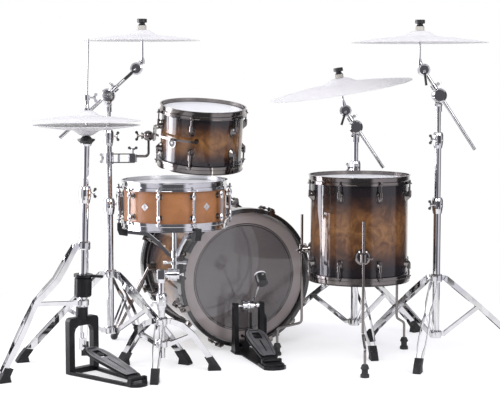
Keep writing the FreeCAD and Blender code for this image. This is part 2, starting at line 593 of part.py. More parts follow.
def tripod(node, at, legs, base_z, top_z, tube_top):
    """Double-braced tripod round a main tube. Returns the point on the floor under the tube."""
    base = V(at[0], at[1], 0)
    keep(node, pipe(base.add(V(0, 0, base_z - 14)), base.add(V(0, 0, tube_top)), TUBE_R, TUBE_R - TUBE_WALL))
    keep(node, collar(top_z, TUBE_R, legs, at, pinned=True), collar(base_z, TUBE_R, legs, at, 28.0))
    r0 = TUBE_R + HINGE_OUT
    joint_r, joint_z = along([(r0, top_z), (LEG_REACH, FOOT_H / 2)], 0.45)
    joint = (joint_r, joint_z + LEG_KNEE)
    path = [(r0, top_z), joint, (LEG_REACH, FOOT_H / 2)]
    for az in legs:
        leg = leg_pair(path, az, base, (r0, joint_r, LEG_REACH - 20))
        keep(node, leg, brace((r0, base_z), joint, az, base))
        keep("stand_feet", rubber_foot(LEG_REACH, FOOT_H, leg, az, base))
    return base


def along(path, share):
    """Point at a share of the way from the first point of a path to its last."""
    (a, b), (c, d) = path[0], path[-1]
    return a + (c - a) * share, b + (d - b) * share


def tilter(depth, radius):
    """Round tilter casting from Z = 0.2 to Z = depth, with a groove and a domed back."""
    return revolved([(0, .2), (radius, .2), (radius, depth * .3), (radius - 2.5, depth * .36),
                     (radius - 2.5, depth * .44), (radius, depth * .5), (radius, depth * .78),
                     (radius - 6, depth), (0, depth)])


def make_stand(name, at, legs, base_z, top_z, tops, clamp_az):
    """Boom stand: tripod, fixed middle tube and sliding top tube with half of the tilter."""
    first, second, pivot = tops
    base = tripod(name + "_stand_base", at, legs, base_z, top_z, first)
    held, outer, top = (MID_R, MID_R, second) if second else (MID_R, TUBE_R, first)
    keep(name + "_stand_base", clamp(base.add(V(0, 0, first)), TUBE_R, clamp_az, held - (0 if second else .2)))
    r = TOP_R if second else MID_R
    if second:
        keep(name + "_stand_base", pipe(base.add(V(0, 0, first - 90)), base.add(V(0, 0, second)), MID_R,
                                        MID_R - TUBE_WALL),
             clamp(base.add(V(0, 0, second)), MID_R, clamp_az, TOP_R))
    p = base.add(V(0, 0, pivot))
    cap = revolved([(0, -DISC_R - 34), (r + 3.5, -DISC_R - 34), (r + 3.5, -DISC_R - 14), (r + 6, -DISC_R - 8),
                    (r + 3, -DISC_R - 2), (0, -DISC_R - 2)])
    cap.translate(p)
    yoke = fused([aimed(tilter(DISC_T, DISC_R), p, V(0, 1, 0)), cap,
                  box(p.x, p.y + DISC_T / 2 + .1, p.z - DISC_R - 6, 24, DISC_T - .2, 16),
                  pipe(base.add(V(0, 0, top - 200)), p.add(V(0, 0, -DISC_R - 30)), r, r - TUBE_WALL)])
    keep(name + "_stand_tube", yoke)
    return p


def cymbal_at(pivot, boom, cym_rod):
    """Foot of the cymbal rod, its direction, and the shoulder of the cymbal's bell."""
    tip = pivot.add(V(0, -DISC_T - 8, 0)).add(boom[1])
    foot, up = tip.add(V(cym_rod[0], 0, ROD_FOOT)), unit(cym_rod[1])
    return tip, foot, up, foot.add(up * cym_rod[2])


def make_boom(name, pivot, boom, cym_rod, dia):
    """Boom arm through its half of the tilter, the cymbal tilter, rod, felts, nut and cymbal."""
    axis = V(0, -1, 0)
    mid = pivot.add(axis * (DISC_T + 8))
    tail = mid.add(boom[0])
    tip, foot, up, at = cymbal_at(pivot, boom, cym_rod)
    d = unit(tip.sub(tail))
    across = V(-d.z, 0, d.x) if d.x > 0 else V(d.z, 0, -d.x)
    bell = bell_height(dia)
    seat = revolved([(0, -22), (8, -22), (9, -14), (16, -8), (15, -2.5), (8, -.3), (0, -.3)])
    half = aimed(tilter(14, TIP_R), tip, axis)
    handle = unit(cym_rod[3])
    keep(name + "_boom", fused([
        rod(tail, tip, BOOM_R), aimed(tilter(BODY_T, DISC_R), pivot, axis), half,
        half.mirror(tip, axis), rod(mid.add(d * 30), mid.add(d * 48), BOOM_R + 5.5),
        aimed(wing_bolt(21, 26), mid.add(d * 39), across, axis), rod(tip, foot.add(up * 4), 9),
        rod(tip.add(axis * 10), tip.add(axis * 20), 8),
        rod(tip.add(axis * 17), tip.add(axis * 17).add(handle * 58), 4.6),
        rod(foot.sub(up * 6), foot.add(up * 10), 8.5), rod(foot.add(up * 9), foot.add(up * 17), 6.5),
        rod(foot, at.add(up * (bell + 32)), ROD_TOP_R), aimed(seat, at.add(up * (bell - CYM_T - SEAT)), up)]))
    keep(name + "_cymbal", aimed(cymbal(dia), at, up))
    low = bell + SEAT
    inner = ROD_TOP_R + .2
    felt = revolved([(inner, low), (16, low), (16.5, low + 2), (16.5, low + 13), (15, low + 15), (inner, low + 15)])
    nut = revolved([(inner, low + 15), (15, low + 15), (10.5, low + 21), (11, low + 24), (18.5, low + 26),
                    (18.5, low + 38), (17, low + 39.5), (inner, low + 39.5)])
    keep(name + "_boom", aimed(felt, at, up), aimed(nut, at, up))


def bell_height(dia):
    return CYM_BELL + dia * CYM_BELL_GAIN


def cymbal(dia):
    """Cymbal with a flared bell, bow and edge; Z = 0 is the bell's shoulder and the edge hangs below it."""
    r = dia / 2
    rb, bell, bow = r * .25, bell_height(dia), dia * CYM_BOW
    top = [(CYM_HOLE, bell), (rb * .3, bell * .985), (rb * .52, bell * .82), (rb * .72, bell * .5),
           (rb * .88, bell * .2), (rb * 1.05, 0.0), (r * .5, -bow * .22), (r * .8, -bow * .64), (r, -bow)]
    under = [(x, z - CYM_T) for x, z in top]
    return revolved(top + under[::-1])


# ---------- hi-hat ----------
def footboard(length):
    """Footboard in its own frame: hinge axis on Y at the origin, toe towards -X; with ribs and windows."""
    half = [(4, 27), (16, 27), (24, 33), (length * .55, 43), (length * .78, 41), (length * .9, 31), (length - 16, 14),
            (length - 16, 4.6), (length + 6, 4.6)]
    plate = prism([(-x, y) for x, y in half] + [(-x, -y) for x, y in half[::-1]], BOARD_T, -BOARD_T / 2)
    for y in (-15, 15):
        plate = plate.cut(prism([(-40, y - 7), (-length * .42, y - 9), (-length * .42, y + 9), (-40, y + 7)],
                                BOARD_T * 2, -BOARD_T))
    plate = plate.cut(prism([(-length * .8, -9), (-length * .62, -16), (-length * .62, 16), (-length * .8, 9)],
                            BOARD_T * 2, -BOARD_T))
    ribs = [prism([(-40, y - 1.5), (-length * .84, y - 1.5), (-length * .84, y + 1.5), (-40, y + 1.5)], 3,
                  BOARD_T / 2) for y in (-27, 27)]
    barrel = rod(V(0, -27.5, 0), V(0, 27.5, 0), 6.5)
    pin = rod(V(0, -38, 0), V(0, 38, 0), 3)
    return fused([plate, barrel, pin] + ribs)


def heel(x, length, w=42.0):
    """Heel block under a footboard hinge at x, with two drilled hinge ears."""
    block = prism([(x - 30, -w), (length - 22, -w), (length - 7, -w + 12), (length, -12), (length, 12),
                   (length - 7, w - 12), (length - 22, w), (x - 30, w)], 12.0)
    ears = [side_prism([(x - 9, 12), (x + 9, 12), (x + 8, HINGE_Z + 6), (x - 8, HINGE_Z + 6)], 9)
            .translated(V(0, y, 0)) for y in (-33, 33)]
    if length - x > 40:
        ears.append(prism([(x + 9, -w + 6), (length - 24, -w + 6), (length - 8, -14), (length - 8, 14),
                           (length - 24, w - 6), (x + 9, w - 6)], 7, 12))
    bore = rod(V(x, -50, HINGE_Z), V(x, 50, HINGE_Z), 3 + GAP)
    return fused([block] + ears).cut(bore).cut(rod(V(x, -28, HINGE_Z), V(x, 28, HINGE_Z), 7.2))


def leaned(shape):
    """Copy leaned with the hi-hat tube."""
    s = shape.copy()
    s.rotate(V(HH_AT[0], HH_AT[1], HH_LEAN_Z), V(0, 1, 0), HH_LEAN)
    return s


def on_tube(z):
    """Point on the leaned axis of the hi-hat."""
    return V(HH_AT[0] + math.tan(math.radians(HH_LEAN)) * (z - HH_LEAN_Z), HH_AT[1], z)


def make_hihat():
    base = V(HH_AT[0], HH_AT[1], 0)
    w, top, t = HH_FRAME_W / 2, HH_FRAME_H, HH_FRAME_T
    arch = face([V(-t / 2, y, z) for y, z in ((-w, 0), (w, 0), (w, top - 12), (w - 5, top - 3), (w - 16, top),
                                              (-w + 16, top), (-w + 5, top - 3), (-w, top - 12))])
    window = face([V(-t, y, z) for y, z in ((-w + 24, 20), (w - 24, 20), (w - 24, top - 56), (w - 29, top - 40),
                                            (w - 42, top - 31), (-w + 42, top - 31), (-w + 29, top - 40),
                                            (-w + 24, top - 56))])
    rails = [prism([(6, s * (w - 16)), (6, s * w), (HH_HEEL - 28, s * 40), (HH_HEEL - 28, s * 28)], 12)
             for s in (-1, 1)]
    frame = fused([arch.extrude(V(t, 0, 0)).cut(window.extrude(V(2 * t, 0, 0))),
                   Part.makeCylinder(TUBE_R + 7, 46, V(0, 0, top - 12)), heel(HH_HEEL, HH_LENGTH, 38.0)] + rails)
    frame = turned(frame.cut(Part.makeCylinder(7, top + 60, V(0, 0, 100))), HH_YAW, base)
    body = revolved([(TUBE_R, 275), (27, 275), (31, 280), (31, 339), (27, 345), (TUBE_R, 345)])
    for k in range(10):
        body = body.cut(turned(Part.makeCylinder(3, 50, V(32.4, 0, 284)), 36.0 * k))
    lever = fused([revolved([(TUBE_R, 346), (34, 346), (34, 356), (TUBE_R, 356)]), box(50, 0, 346.5, 44, 15, 9)])
    lever = lever.cut(Part.makeCylinder(TUBE_R, 40, V(0, 0, 330)))
    socket = leaned(Part.makeCylinder(TUBE_R, 80, base.add(V(0, 0, top + 2))))
    keep("hihat_frame", frame.cut(socket), leaned(turned(body, 0, base)), leaned(turned(lever, -8, base)))
    inner = TUBE_R - TUBE_WALL - GAP
    for s in (pipe(base.add(V(0, 0, top + 2)), base.add(V(0, 0, HH_CLAMP)), TUBE_R, TUBE_R - TUBE_WALL),
              clamp(base.add(V(0, 0, HH_CLAMP)), TUBE_R, 90, inner),
              collar(HH_LEG_TOP, TUBE_R, HH_LEGS, HH_AT, pinned=True),
              collar(HH_BRACE_Z, TUBE_R, HH_LEGS, HH_AT, 26.0)):
        keep("hihat_base", leaned(s))
    r0 = TUBE_R + HINGE_OUT
    path = [(r0, HH_LEG_TOP), (105, 343), (183, 267), (HH_REACH, FOOT_H / 2)]
    for az in HH_LEGS:
        leg = leaned(leg_pair(path, az, base, (r0, 187, HH_REACH - 14)))
        keep("hihat_base", leg, leaned(brace((r0, HH_BRACE_Z), (187, 259), az, base)))
        keep("stand_feet", rubber_foot(HH_REACH, FOOT_H, leg, az, base, .3))
    board = footboard(HH_BOARD)
    board.rotate(V(0, 0, 0), V(0, 1, 0), HH_RISE)
    board.translate(V(HH_HEEL, 0, HINGE_Z))
    keep("hihat_footboard", turned(board, HH_YAW, base))
    make_hats(base, inner)


def make_hats(base, r):
    """Sliding tube with its cup and lower cymbal; pull rod with its fork, clutch and upper cymbal."""
    bell, bow = bell_height(HH_DIA), HH_DIA * CYM_BOW
    bore = leaned(Part.makeCylinder(PULL_R + BORE_GAP, 900, base.add(V(0, 0, 200))))
    cup = revolved([(0, -36), (r + 5, -36), (r + 8, -26), (31, -16), (31, -11), (20, -9), (14, -SEAT - 1),
                    (9, -SEAT), (0, -SEAT)])
    cup.translate(on_tube(HH_SEAT))
    tube = leaned(pipe(base.add(V(0, 0, HH_CLAMP - 200)), base.add(V(0, 0, HH_SEAT - 30)), r, r - TUBE_WALL))
    keep("hihat_upper_tube", fused([tube, cup]).cut(bore))
    lower = flipped(cymbal(HH_DIA))
    lower.translate(on_tube(HH_SEAT + bell))
    keep("hihat_bottom_cymbal", lower)
    at = on_tube(HH_SEAT + bell + 2 * bow + 2 * CYM_T + HH_OPEN)
    keep("hihat_top_cymbal", turned(cymbal(HH_DIA), 0, at))
    low = bell - CYM_T - SEAT
    body = revolved([(0, low - 9), (9, low - 9), (9, low), (5.6, low), (5.6, bell + SEAT), (14, bell + SEAT),
                     (14, bell + 6), (10, bell + 8), (8, bell + 20), (8, bell + 34), (12, bell + 36),
                     (12, bell + 52), (9, bell + 54), (0, bell + 54)])
    clutch = turned(fused([body, aimed(wing_bolt(26, 22), V(6, 0, bell + 44), V(1, 0, 0), UP)]), -12, at)
    shaft = leaned(Part.makeCylinder(PULL_R, HH_ROD_TOP - 140, base.add(V(0, 0, 140))))
    keep("hihat_clutch", clutch.cut(shaft))
    fork = fused([box(1, y, 82, 22, 3, 42) for y in (-7, 7)]
                 + [box(1, 0, 116, 22, 17, 8), Part.makeCylinder(7.5, 22, V(0, 0, 122))])
    keep("hihat_pull_rod", fused([turned(fork, HH_YAW, base), shaft]))


# ---------- bass pedal ----------
def make_bass_pedal():
    x, w = BP_AXLE, BP_POSTS / 2
    half = [(-32, 28), (10, 32), (22, w + 12), (80, w + 12), (104, 46), (BP_HEEL - 28, 42)]
    base = prism(half + [(a, -b) for a, b in half[::-1]], 5.0)
    posts = [side_prism([(x - 26, 5), (x + 28, 5), (x + 16, 70), (x + 13, BP_AXLE_Z + 12), (x - 13, BP_AXLE_Z + 12),
                         (x - 16, 70)], 18).translated(V(0, y, 0)) for y in (-w, w)]
    hoop_top = BD_FRONT.z - BD_DIA / 2 - 3
    jaw_low = BD_FRONT.z - (BD_DIA / 2 + FLESH_T + HOOP_T - 1.5) - SEAT
    clamp_body = side_prism([(2, 5), (16, 5), (16, hoop_top + 16), (-22, hoop_top + 14), (-22, hoop_top + 1.4),
                             (2, hoop_top + .8)], 26)
    jaw = side_prism([(-28, 5), (-4, 5), (-4, jaw_low), (-28, jaw_low)], 26)
    bolt = aimed(wing_bolt(22, 30), V(9, 0, hoop_top + 12), V(.35, 0, 1), V(0, 1, 0))
    spring_y = w + 16
    spring = fused([rod(V(x + 2, spring_y, 40), V(x + 2, spring_y, 132), 6.5),
                    rod(V(x + 2, spring_y, 20), V(x + 2, spring_y, 146), 2.5),
                    box(x, w + 13, 5, 20, 22, 18), box(x, w + 12, 128, 12, 18, 8)])
    frame = fused([base] + posts + [clamp_body, jaw, bolt, spring, heel(BP_HEEL, BP_LENGTH)])
    frame = frame.cut(rod(V(x, -90, BP_AXLE_Z), V(x, 90, BP_AXLE_Z), 5 + GAP))
    at, az = BP_HOOP, BP_YAW - 90
    keep("bass_pedal_frame", turned(frame, az, at))
    board = footboard(BP_BOARD)
    board.rotate(V(0, 0, 0), V(0, 1, 0), BOARD_RISE)
    board.translate(V(BP_HEEL, 0, HINGE_Z))
    toe = BP_HEEL - (BP_BOARD + 3) * math.cos(math.radians(BOARD_RISE))
    toe_z = HINGE_Z + (BP_BOARD + 3) * math.sin(math.radians(BOARD_RISE))
    board = fused([board, box(toe + 1.5, 0, toe_z - 3, 3, 9, 60)])
    keep("bass_pedal_footboard", turned(board, az, at))
    lean = math.radians(BEATER_LEAN)
    d, face_dir = V(math.sin(lean), 0, math.cos(lean)), V(-math.cos(lean), 0, math.sin(lean))
    pivot, y = V(x, BEATER_OUT, BP_AXLE_Z), BEATER_OUT
    centre = pivot.add(d * BEATER_L)
    swing = [rod(V(x, -w - 9, BP_AXLE_Z), V(x, w + 9, BP_AXLE_Z), 5), rod(pivot.sub(d * 14), centre.add(d * 30), 4.3)]
    for a, b, r in ((y - 7, y + 7, 13), (-26, -20, CAM_R), (-20, -6, CAM_R - 7), (-6, 0, CAM_R), (w - 22, w - 12, 12)):
        swing.append(rod(V(x, a, BP_AXLE_Z), V(x, b, BP_AXLE_Z), r))
    keep("bass_pedal_beater", turned(fused(swing), az, at))
    felt = rod(centre.sub(face_dir * (BEATER_H / 2)), centre.add(face_dir * (BEATER_H / 2)), BEATER_R)
    felt = felt.cut(rod(pivot, centre.add(d * 60), 4.3))
    keep("bass_beater_head", turned(felt, az, at))


# ---------- snare stand ----------
def make_snare_stand():
    base = V(SS_AT[0], SS_AT[1], 0)
    r = MID_R
    inner = r - TUBE_WALL - GAP
    keep("snare_stand_base", pipe(base.add(V(0, 0, 52)), base.add(V(0, 0, SS_CLAMP)), r, r - TUBE_WALL),
         clamp(base.add(V(0, 0, SS_CLAMP)), r, -90, inner), collar(SS_LEG_TOP, r, SS_LEGS, SS_AT, pinned=True),
         collar(SS_BASE, r, SS_LEGS, SS_AT, 26.0))
    r0 = r + HINGE_OUT
    path = [(r0, SS_LEG_TOP), (70, 170), (112, 132), (SS_REACH, FOOT_H / 2)]
    for az in SS_LEGS:
        leg = leg_pair(path, az, base, (r0, SS_REACH - 12))
        keep("snare_stand_base", leg, brace((r0, SS_BASE), (112, 132), az, base))
        keep("stand_feet", rubber_foot(SS_REACH, FOOT_H, leg, az, base, .35))
    p = base.add(V(0, 0, SS_TILT))
    x = V(1, 0, 0)
    elbow = rounded(p.x, p.y, p.z - 16, 32, 32, 32, 6)
    keep("snare_stand_tube", fused([
        pipe(base.add(V(0, 0, 140)), p.add(V(0, 0, -10)), inner, inner - TUBE_WALL),
        revolved([(0, -30), (inner + 3, -30), (inner + 5, -16), (0, -14)]).translated(p),
        elbow, rod(p.add(x * 15), p.add(x * 25), 13), rod(p.add(x * 24), p.add(x * 30), 21)]))
    make_basket(p)


def make_basket(p):
    """Snare basket: tilter half with its wing, threaded stem with two nuts, and three gripped arms."""
    hub, x = V(SN_POS.x, p.y, 0), V(1, 0, 0)
    body = [rod(p.add(x * 30.4), p.add(x * 36), 21), rod(p.add(x * 35), p.add(x * 56), 23),
            rod(p.add(x * 55), p.add(x * 64), 17), aimed(wing_bolt(18, 30), p.add(x * 62), x, UP),
            Part.makeCylinder(9, SS_STEM - SS_TILT, V(hub.x, hub.y, SS_TILT)),
            Part.makeCylinder(15, 12, V(hub.x, hub.y, SS_HUB - 36)),
            rod(V(hub.x - 38, hub.y, SS_HUB - 30), V(hub.x + 38, hub.y, SS_HUB - 30), 4.2),
            Part.makeCylinder(13, 26, V(hub.x, hub.y, SS_HUB - 12))]
    body += [rod(V(hub.x + s * 30, hub.y, SS_HUB - 30), V(hub.x + s * 42, hub.y, SS_HUB - 30), 6.5) for s in (-1, 1)]
    rim_low = SN_POS.z - SN_DEPTH / 2 - RIM_RISE
    rim_out = SN_DIA / 2 + 1.4 + FLESH_T + 4.6
    path = [(11, SS_HUB - 4), (24, SS_HUB + 2), (60, rim_low - 58), (98, rim_low - 27), (rim_out - 6, rim_low - 18)]
    for az in BASKET_ARMS:
        body.append(turned(strip(path, 13, -4, 8), az, hub))
    arms = fused(body)
    keep("snare_basket", arms)
    side = [(rim_out - 22, rim_low - 34), (rim_out + 6, rim_low - 30), (rim_out + 13, rim_low - 12),
            (rim_out + 13, rim_low + 12), (rim_out + .6, rim_low + 12), (rim_out + .6, rim_low - SEAT),
            (rim_out - 22, rim_low - SEAT)]
    for az in BASKET_ARMS:
        keep("snare_basket_grips", turned(side_prism(side, 22), az, hub).cut(arms))


# ---------- tom holder ----------
def make_tom_holder():
    corner = V(BALL.x, BALL.y, ARM_Z)
    barrel = rod(BALL.add(V(10, 0, 0)), BALL.add(V(-24, 0, 0)), SWIVEL_R)
    keep("tom_arm", fused([bent_rod([ARM_START, corner, BALL], ARM_R, 14), barrel,
                           rod(BALL.add(V(-21, 0, 0)), BALL.add(V(-26, 0, 0)), 13),
                           aimed(wing_bolt(16, 26), BALL.add(V(-25, 0, 0)), V(-1, 0, 0), UP)]))
    at = V(LEFT_AT[0], LEFT_AT[1], 0)
    d = unit(corner.sub(ARM_START))
    block_at = ARM_START.add(d * 14)
    az = math.degrees(math.atan2(block_at.y - at.y, block_at.x - at.x))
    reach = math.hypot(block_at.x - at.x, block_at.y - at.y)
    ring = Part.makeCylinder(MID_R + 6.5, 44, V(0, 0, TOM_CLAMP_Z - 16))
    plates = [prism([(8, -17), (reach - 12, -13), (reach + 8, -11), (reach + 8, 11), (reach - 12, 13), (8, 17)], 4, z)
              for z in (TOM_CLAMP_Z - 12, TOM_CLAMP_Z + 20)]
    pillar = Part.makeCylinder(5, 32, V(reach * .42, 0, TOM_CLAMP_Z - 10))
    holder = fused([turned(s, az, at) for s in [ring, pillar] + plates]
                   + [turned(rounded(0, 0, 0, 32, 28, 29, 6), math.degrees(math.atan2(d.y, d.x)),
                             V(block_at.x, block_at.y, TOM_CLAMP_Z - 8.5)),
                      turned(wing_bolt(18, 26), az, V(block_at.x, block_at.y, TOM_CLAMP_Z + 23.5)),
                      aimed(wing_bolt(26, 26), V(at.x, at.y, TOM_CLAMP_Z + 6), V(-1, -.3, 0), UP)])
    holder = holder.cut(Part.makeCylinder(MID_R, 90, V(at.x, at.y, TOM_CLAMP_Z - 40)))
    keep("tom_clamp", holder.cut(rod(ARM_START.sub(d * 60), corner, ARM_R + GAP)))


def write_parts():
    os.makedirs("parts", exist_ok=True)
    for node, solids in PARTS.items():
        shape = solids[0] if len(solids) == 1 else Part.makeCompound(solids)
        shape.exportStep("parts/%s.step" % node)


def main():
    make_bass_drum()
    make_floor_tom()
    make_rack_tom()
    make_snare()
    for name, at, legs, low_z, top_z, tops, clamp_az, boom, cym_rod, dia in (
            ("left", LEFT_AT, LEFT_LEGS, LEFT_BASE, LEFT_TOP, LEFT_TOPS, 90, LEFT_BOOM, LEFT_ROD, LEFT_CYM),
            ("middle", MID_AT, MID_LEGS, MID_BASE, MID_TOP, MID_TOPS, -90, MID_BOOM, MID_ROD, MID_CYM),
            ("right", RIGHT_AT, RIGHT_LEGS, RIGHT_BASE, RIGHT_TOP, RIGHT_TOPS, -90, RIGHT_BOOM, RIGHT_ROD,
             RIGHT_CYM)):
        pivot = make_stand(name, at, legs, low_z, top_z, tops, clamp_az)
        make_boom(name, pivot, boom, cym_rod, dia)
    make_tom_holder()
    make_hihat()
    make_bass_pedal()
    make_snare_stand()
    write_parts()


if __name__ == "__main__":
    main()
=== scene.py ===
"""Looks of an acoustic drum kit: finishes, fine pieces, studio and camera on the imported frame.

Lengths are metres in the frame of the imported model: the floor is Z = 0 and the drummer sits towards -Y.
"""

import json
import logging
import math
from collections.abc import Callable, Sequence
from dataclasses import dataclass, replace
from enum import Enum

import bpy
from mathutils import Euler, Matrix, Vector


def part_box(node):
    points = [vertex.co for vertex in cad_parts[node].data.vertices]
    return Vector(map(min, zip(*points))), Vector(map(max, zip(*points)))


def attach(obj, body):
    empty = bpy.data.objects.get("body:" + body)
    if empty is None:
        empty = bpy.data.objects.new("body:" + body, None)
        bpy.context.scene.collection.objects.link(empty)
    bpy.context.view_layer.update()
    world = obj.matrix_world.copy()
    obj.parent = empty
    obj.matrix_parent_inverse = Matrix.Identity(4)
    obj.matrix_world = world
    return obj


logging.basicConfig(level=logging.INFO, format="%(message)s")
LOG = logging.getLogger("drum_kit")

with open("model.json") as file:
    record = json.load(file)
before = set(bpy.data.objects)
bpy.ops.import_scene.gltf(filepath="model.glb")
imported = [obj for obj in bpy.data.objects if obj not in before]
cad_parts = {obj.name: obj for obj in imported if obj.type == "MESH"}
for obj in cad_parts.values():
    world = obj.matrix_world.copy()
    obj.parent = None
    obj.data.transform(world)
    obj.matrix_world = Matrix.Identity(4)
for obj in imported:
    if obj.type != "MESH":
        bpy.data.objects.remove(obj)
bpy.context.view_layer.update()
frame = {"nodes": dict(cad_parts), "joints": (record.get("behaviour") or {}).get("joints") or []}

Socket = bpy.types.NodeSocket
Colour = tuple[float, float, float]


class Slot(Enum):
    """Material slots of the record that the added pieces belong to."""

    CHROME = "chrome"
    STEEL = "black_steel"


# ---------------------------------------------------------------- node trees


@dataclass
class Tree:
    """A node tree that is filled in order, with short calls for the usual nodes."""

    nodes: bpy.types.NodeTree

    def add(self, kind: str, **sockets: object) -> bpy.types.Node:
        """Adds a node and fills its inputs.

        Args:
            kind: Node type without the ShaderNode prefix.
            sockets: Input name, with _ for a space, to a socket or a constant.

        Returns:
            The new node.
        """
        return self.fill(self.nodes.nodes.new("ShaderNode" + kind), **sockets)

    def fill(self, node: bpy.types.Node, **sockets: object) -> bpy.types.Node:
        """Fills inputs of a node.

        Args:
            node: The node.
            sockets: Input name, with _ for a space, to a socket or a constant.

        Returns:
            The same node.
        """
        for name, value in sockets.items():
            self.feed(node.inputs[name.replace("_", " ")], value)
        return node

    def feed(self, target: Socket, value: object) -> None:
        """Links a socket to an input, or sets a constant on it.

        Args:
            target: The input socket.
            value: An output socket, a number, or a colour or vector.
        """
        if isinstance(value, bpy.types.NodeSocket):
            self.nodes.links.new(value, target)
        elif target.type == "RGBA":
            target.default_value = (*value[:3], 1.0)
        else:
            target.default_value = value

    def math(self, operation: str, first: object, second: object = 0.0) -> Socket:
        """Returns the result of a Math node on two sockets or numbers."""
        node = self.nodes.nodes.new("ShaderNodeMath")
        node.operation = operation
        self.feed(node.inputs[0], first)
        self.feed(node.inputs[1], second)
        return node.outputs[0]

    def vector(self, operation: str, first: object, second: object = (0.0, 0.0, 0.0)) -> Socket:
        """Returns the result of a Vector Math node, a number for a length or a dot product."""
        node = self.nodes.nodes.new("ShaderNodeVectorMath")
        node.operation = operation
        self.feed(node.inputs[0], first)
        self.feed(node.inputs[1], second)
        return node.outputs["Value" if operation in ("LENGTH", "DOT_PRODUCT") else "Vector"]

    def mix(self, factor: object, low: object, high: object) -> Socket:
        """Returns a colour between low and high."""
        node = self.nodes.nodes.new("ShaderNodeMix")
        node.data_type = "RGBA"
        for name, value in (("Factor_Float", factor), ("A_Color", low), ("B_Color", high)):
            self.feed(next(s for s in node.inputs if s.identifier == name), value)
        return next(s for s in node.outputs if s.identifier == "Result_Color")

    def band(self, value: object, low: float, high: float) -> Socket:
        """Returns 0 at or below low and 1 at or above high, smoothly between."""
        node = self.nodes.nodes.new("ShaderNodeMapRange")
        node.interpolation_type = "SMOOTHSTEP"
        self.feed(node.inputs["Value"], value)
        node.inputs["From Min"].default_value = low
        node.inputs["From Max"].default_value = high
        return node.outputs["Result"]

    def ramp(self, factor: object, stops: Sequence[tuple[float, Colour]]) -> Socket:
        """Returns a colour read from a ramp.

        Args:
            factor: Place on the ramp, 0 to 1.
            stops: Place and colour of each stop, in order.
        """
        node = self.nodes.nodes.new("ShaderNodeValToRGB")
        ramp = node.color_ramp
        while len(ramp.elements) < len(stops):
            ramp.elements.new(1.0)
        for element, (place, colour) in zip(ramp.elements, stops):
            element.position = place
            element.color = (*colour, 1.0)
        self.feed(node.inputs["Fac"], factor)
        return node.outputs["Color"]

    def place(self, centre: Vector = Vector(), turn: Euler = Euler()) -> Socket:
        """Returns object coordinates seen from a local frame.

        Args:
            centre: Origin of the local frame.
            turn: Rotation of the local frame.
        """
        coordinates = self.add("TexCoord")
        mapping = self.add("Mapping", Location=tuple(centre), Rotation=tuple(turn))
        mapping.vector_type = "TEXTURE"
        self.feed(mapping.inputs["Vector"], coordinates.outputs["Object"])
        return mapping.outputs["Vector"]

    def group(self, tree: bpy.types.NodeTree, **sockets: object) -> bpy.types.Node:
        """Places a shared node group and fills its inputs."""
        node = self.nodes.nodes.new("ShaderNodeGroup")
        node.node_tree = tree
        return self.fill(node, **sockets)

    def part(self, vector: object, axis: str) -> Socket:
        """Returns one part of a vector, X, Y or Z."""
        return self.add("SeparateXYZ", Vector=vector).outputs[axis]

    def radius(self, place: object) -> Socket:
        """Returns the distance of a place from its frame's Z axis."""
        return self.vector("LENGTH", self.vector("MULTIPLY", place, (1.0, 1.0, 0.0)))


def start_material(name: str) -> tuple[bpy.types.Material, Tree, bpy.types.Node]:
    """Makes an empty node material with its Principled shader.

    Args:
        name: Name of the material.

    Returns:
        The material, its tree and the shader node.
    """
    material = bpy.data.materials.new(name)
    material.use_nodes = True
    tree = Tree(material.node_tree)
    shader = next(n for n in material.node_tree.nodes if n.type == "BSDF_PRINCIPLED")
    return material, tree, shader


def start_group(
    name: str, inputs: Sequence[tuple[str, str, object]], outputs: Sequence[tuple[str, str]]
) -> tuple[bpy.types.NodeTree, Tree, bpy.types.Node, bpy.types.Node]:
    """Makes a shared shader node group.

    Args:
        name: Name of the group.
        inputs: Name, socket kind and default of each input.
        outputs: Name and socket kind of each output.

    Returns:
        The group, its tree, and its input and output nodes.
    """
    group = bpy.data.node_groups.new(name, "ShaderNodeTree")
    for label, kind, default in inputs:
        socket = group.interface.new_socket(name=label, in_out="INPUT", socket_type="NodeSocket" + kind)
        if default is not None:
            socket.default_value = default
    for label, kind in outputs:
        group.interface.new_socket(name=label, in_out="OUTPUT", socket_type="NodeSocket" + kind)
    return group, Tree(group), group.nodes.new("NodeGroupInput"), group.nodes.new("NodeGroupOutput")


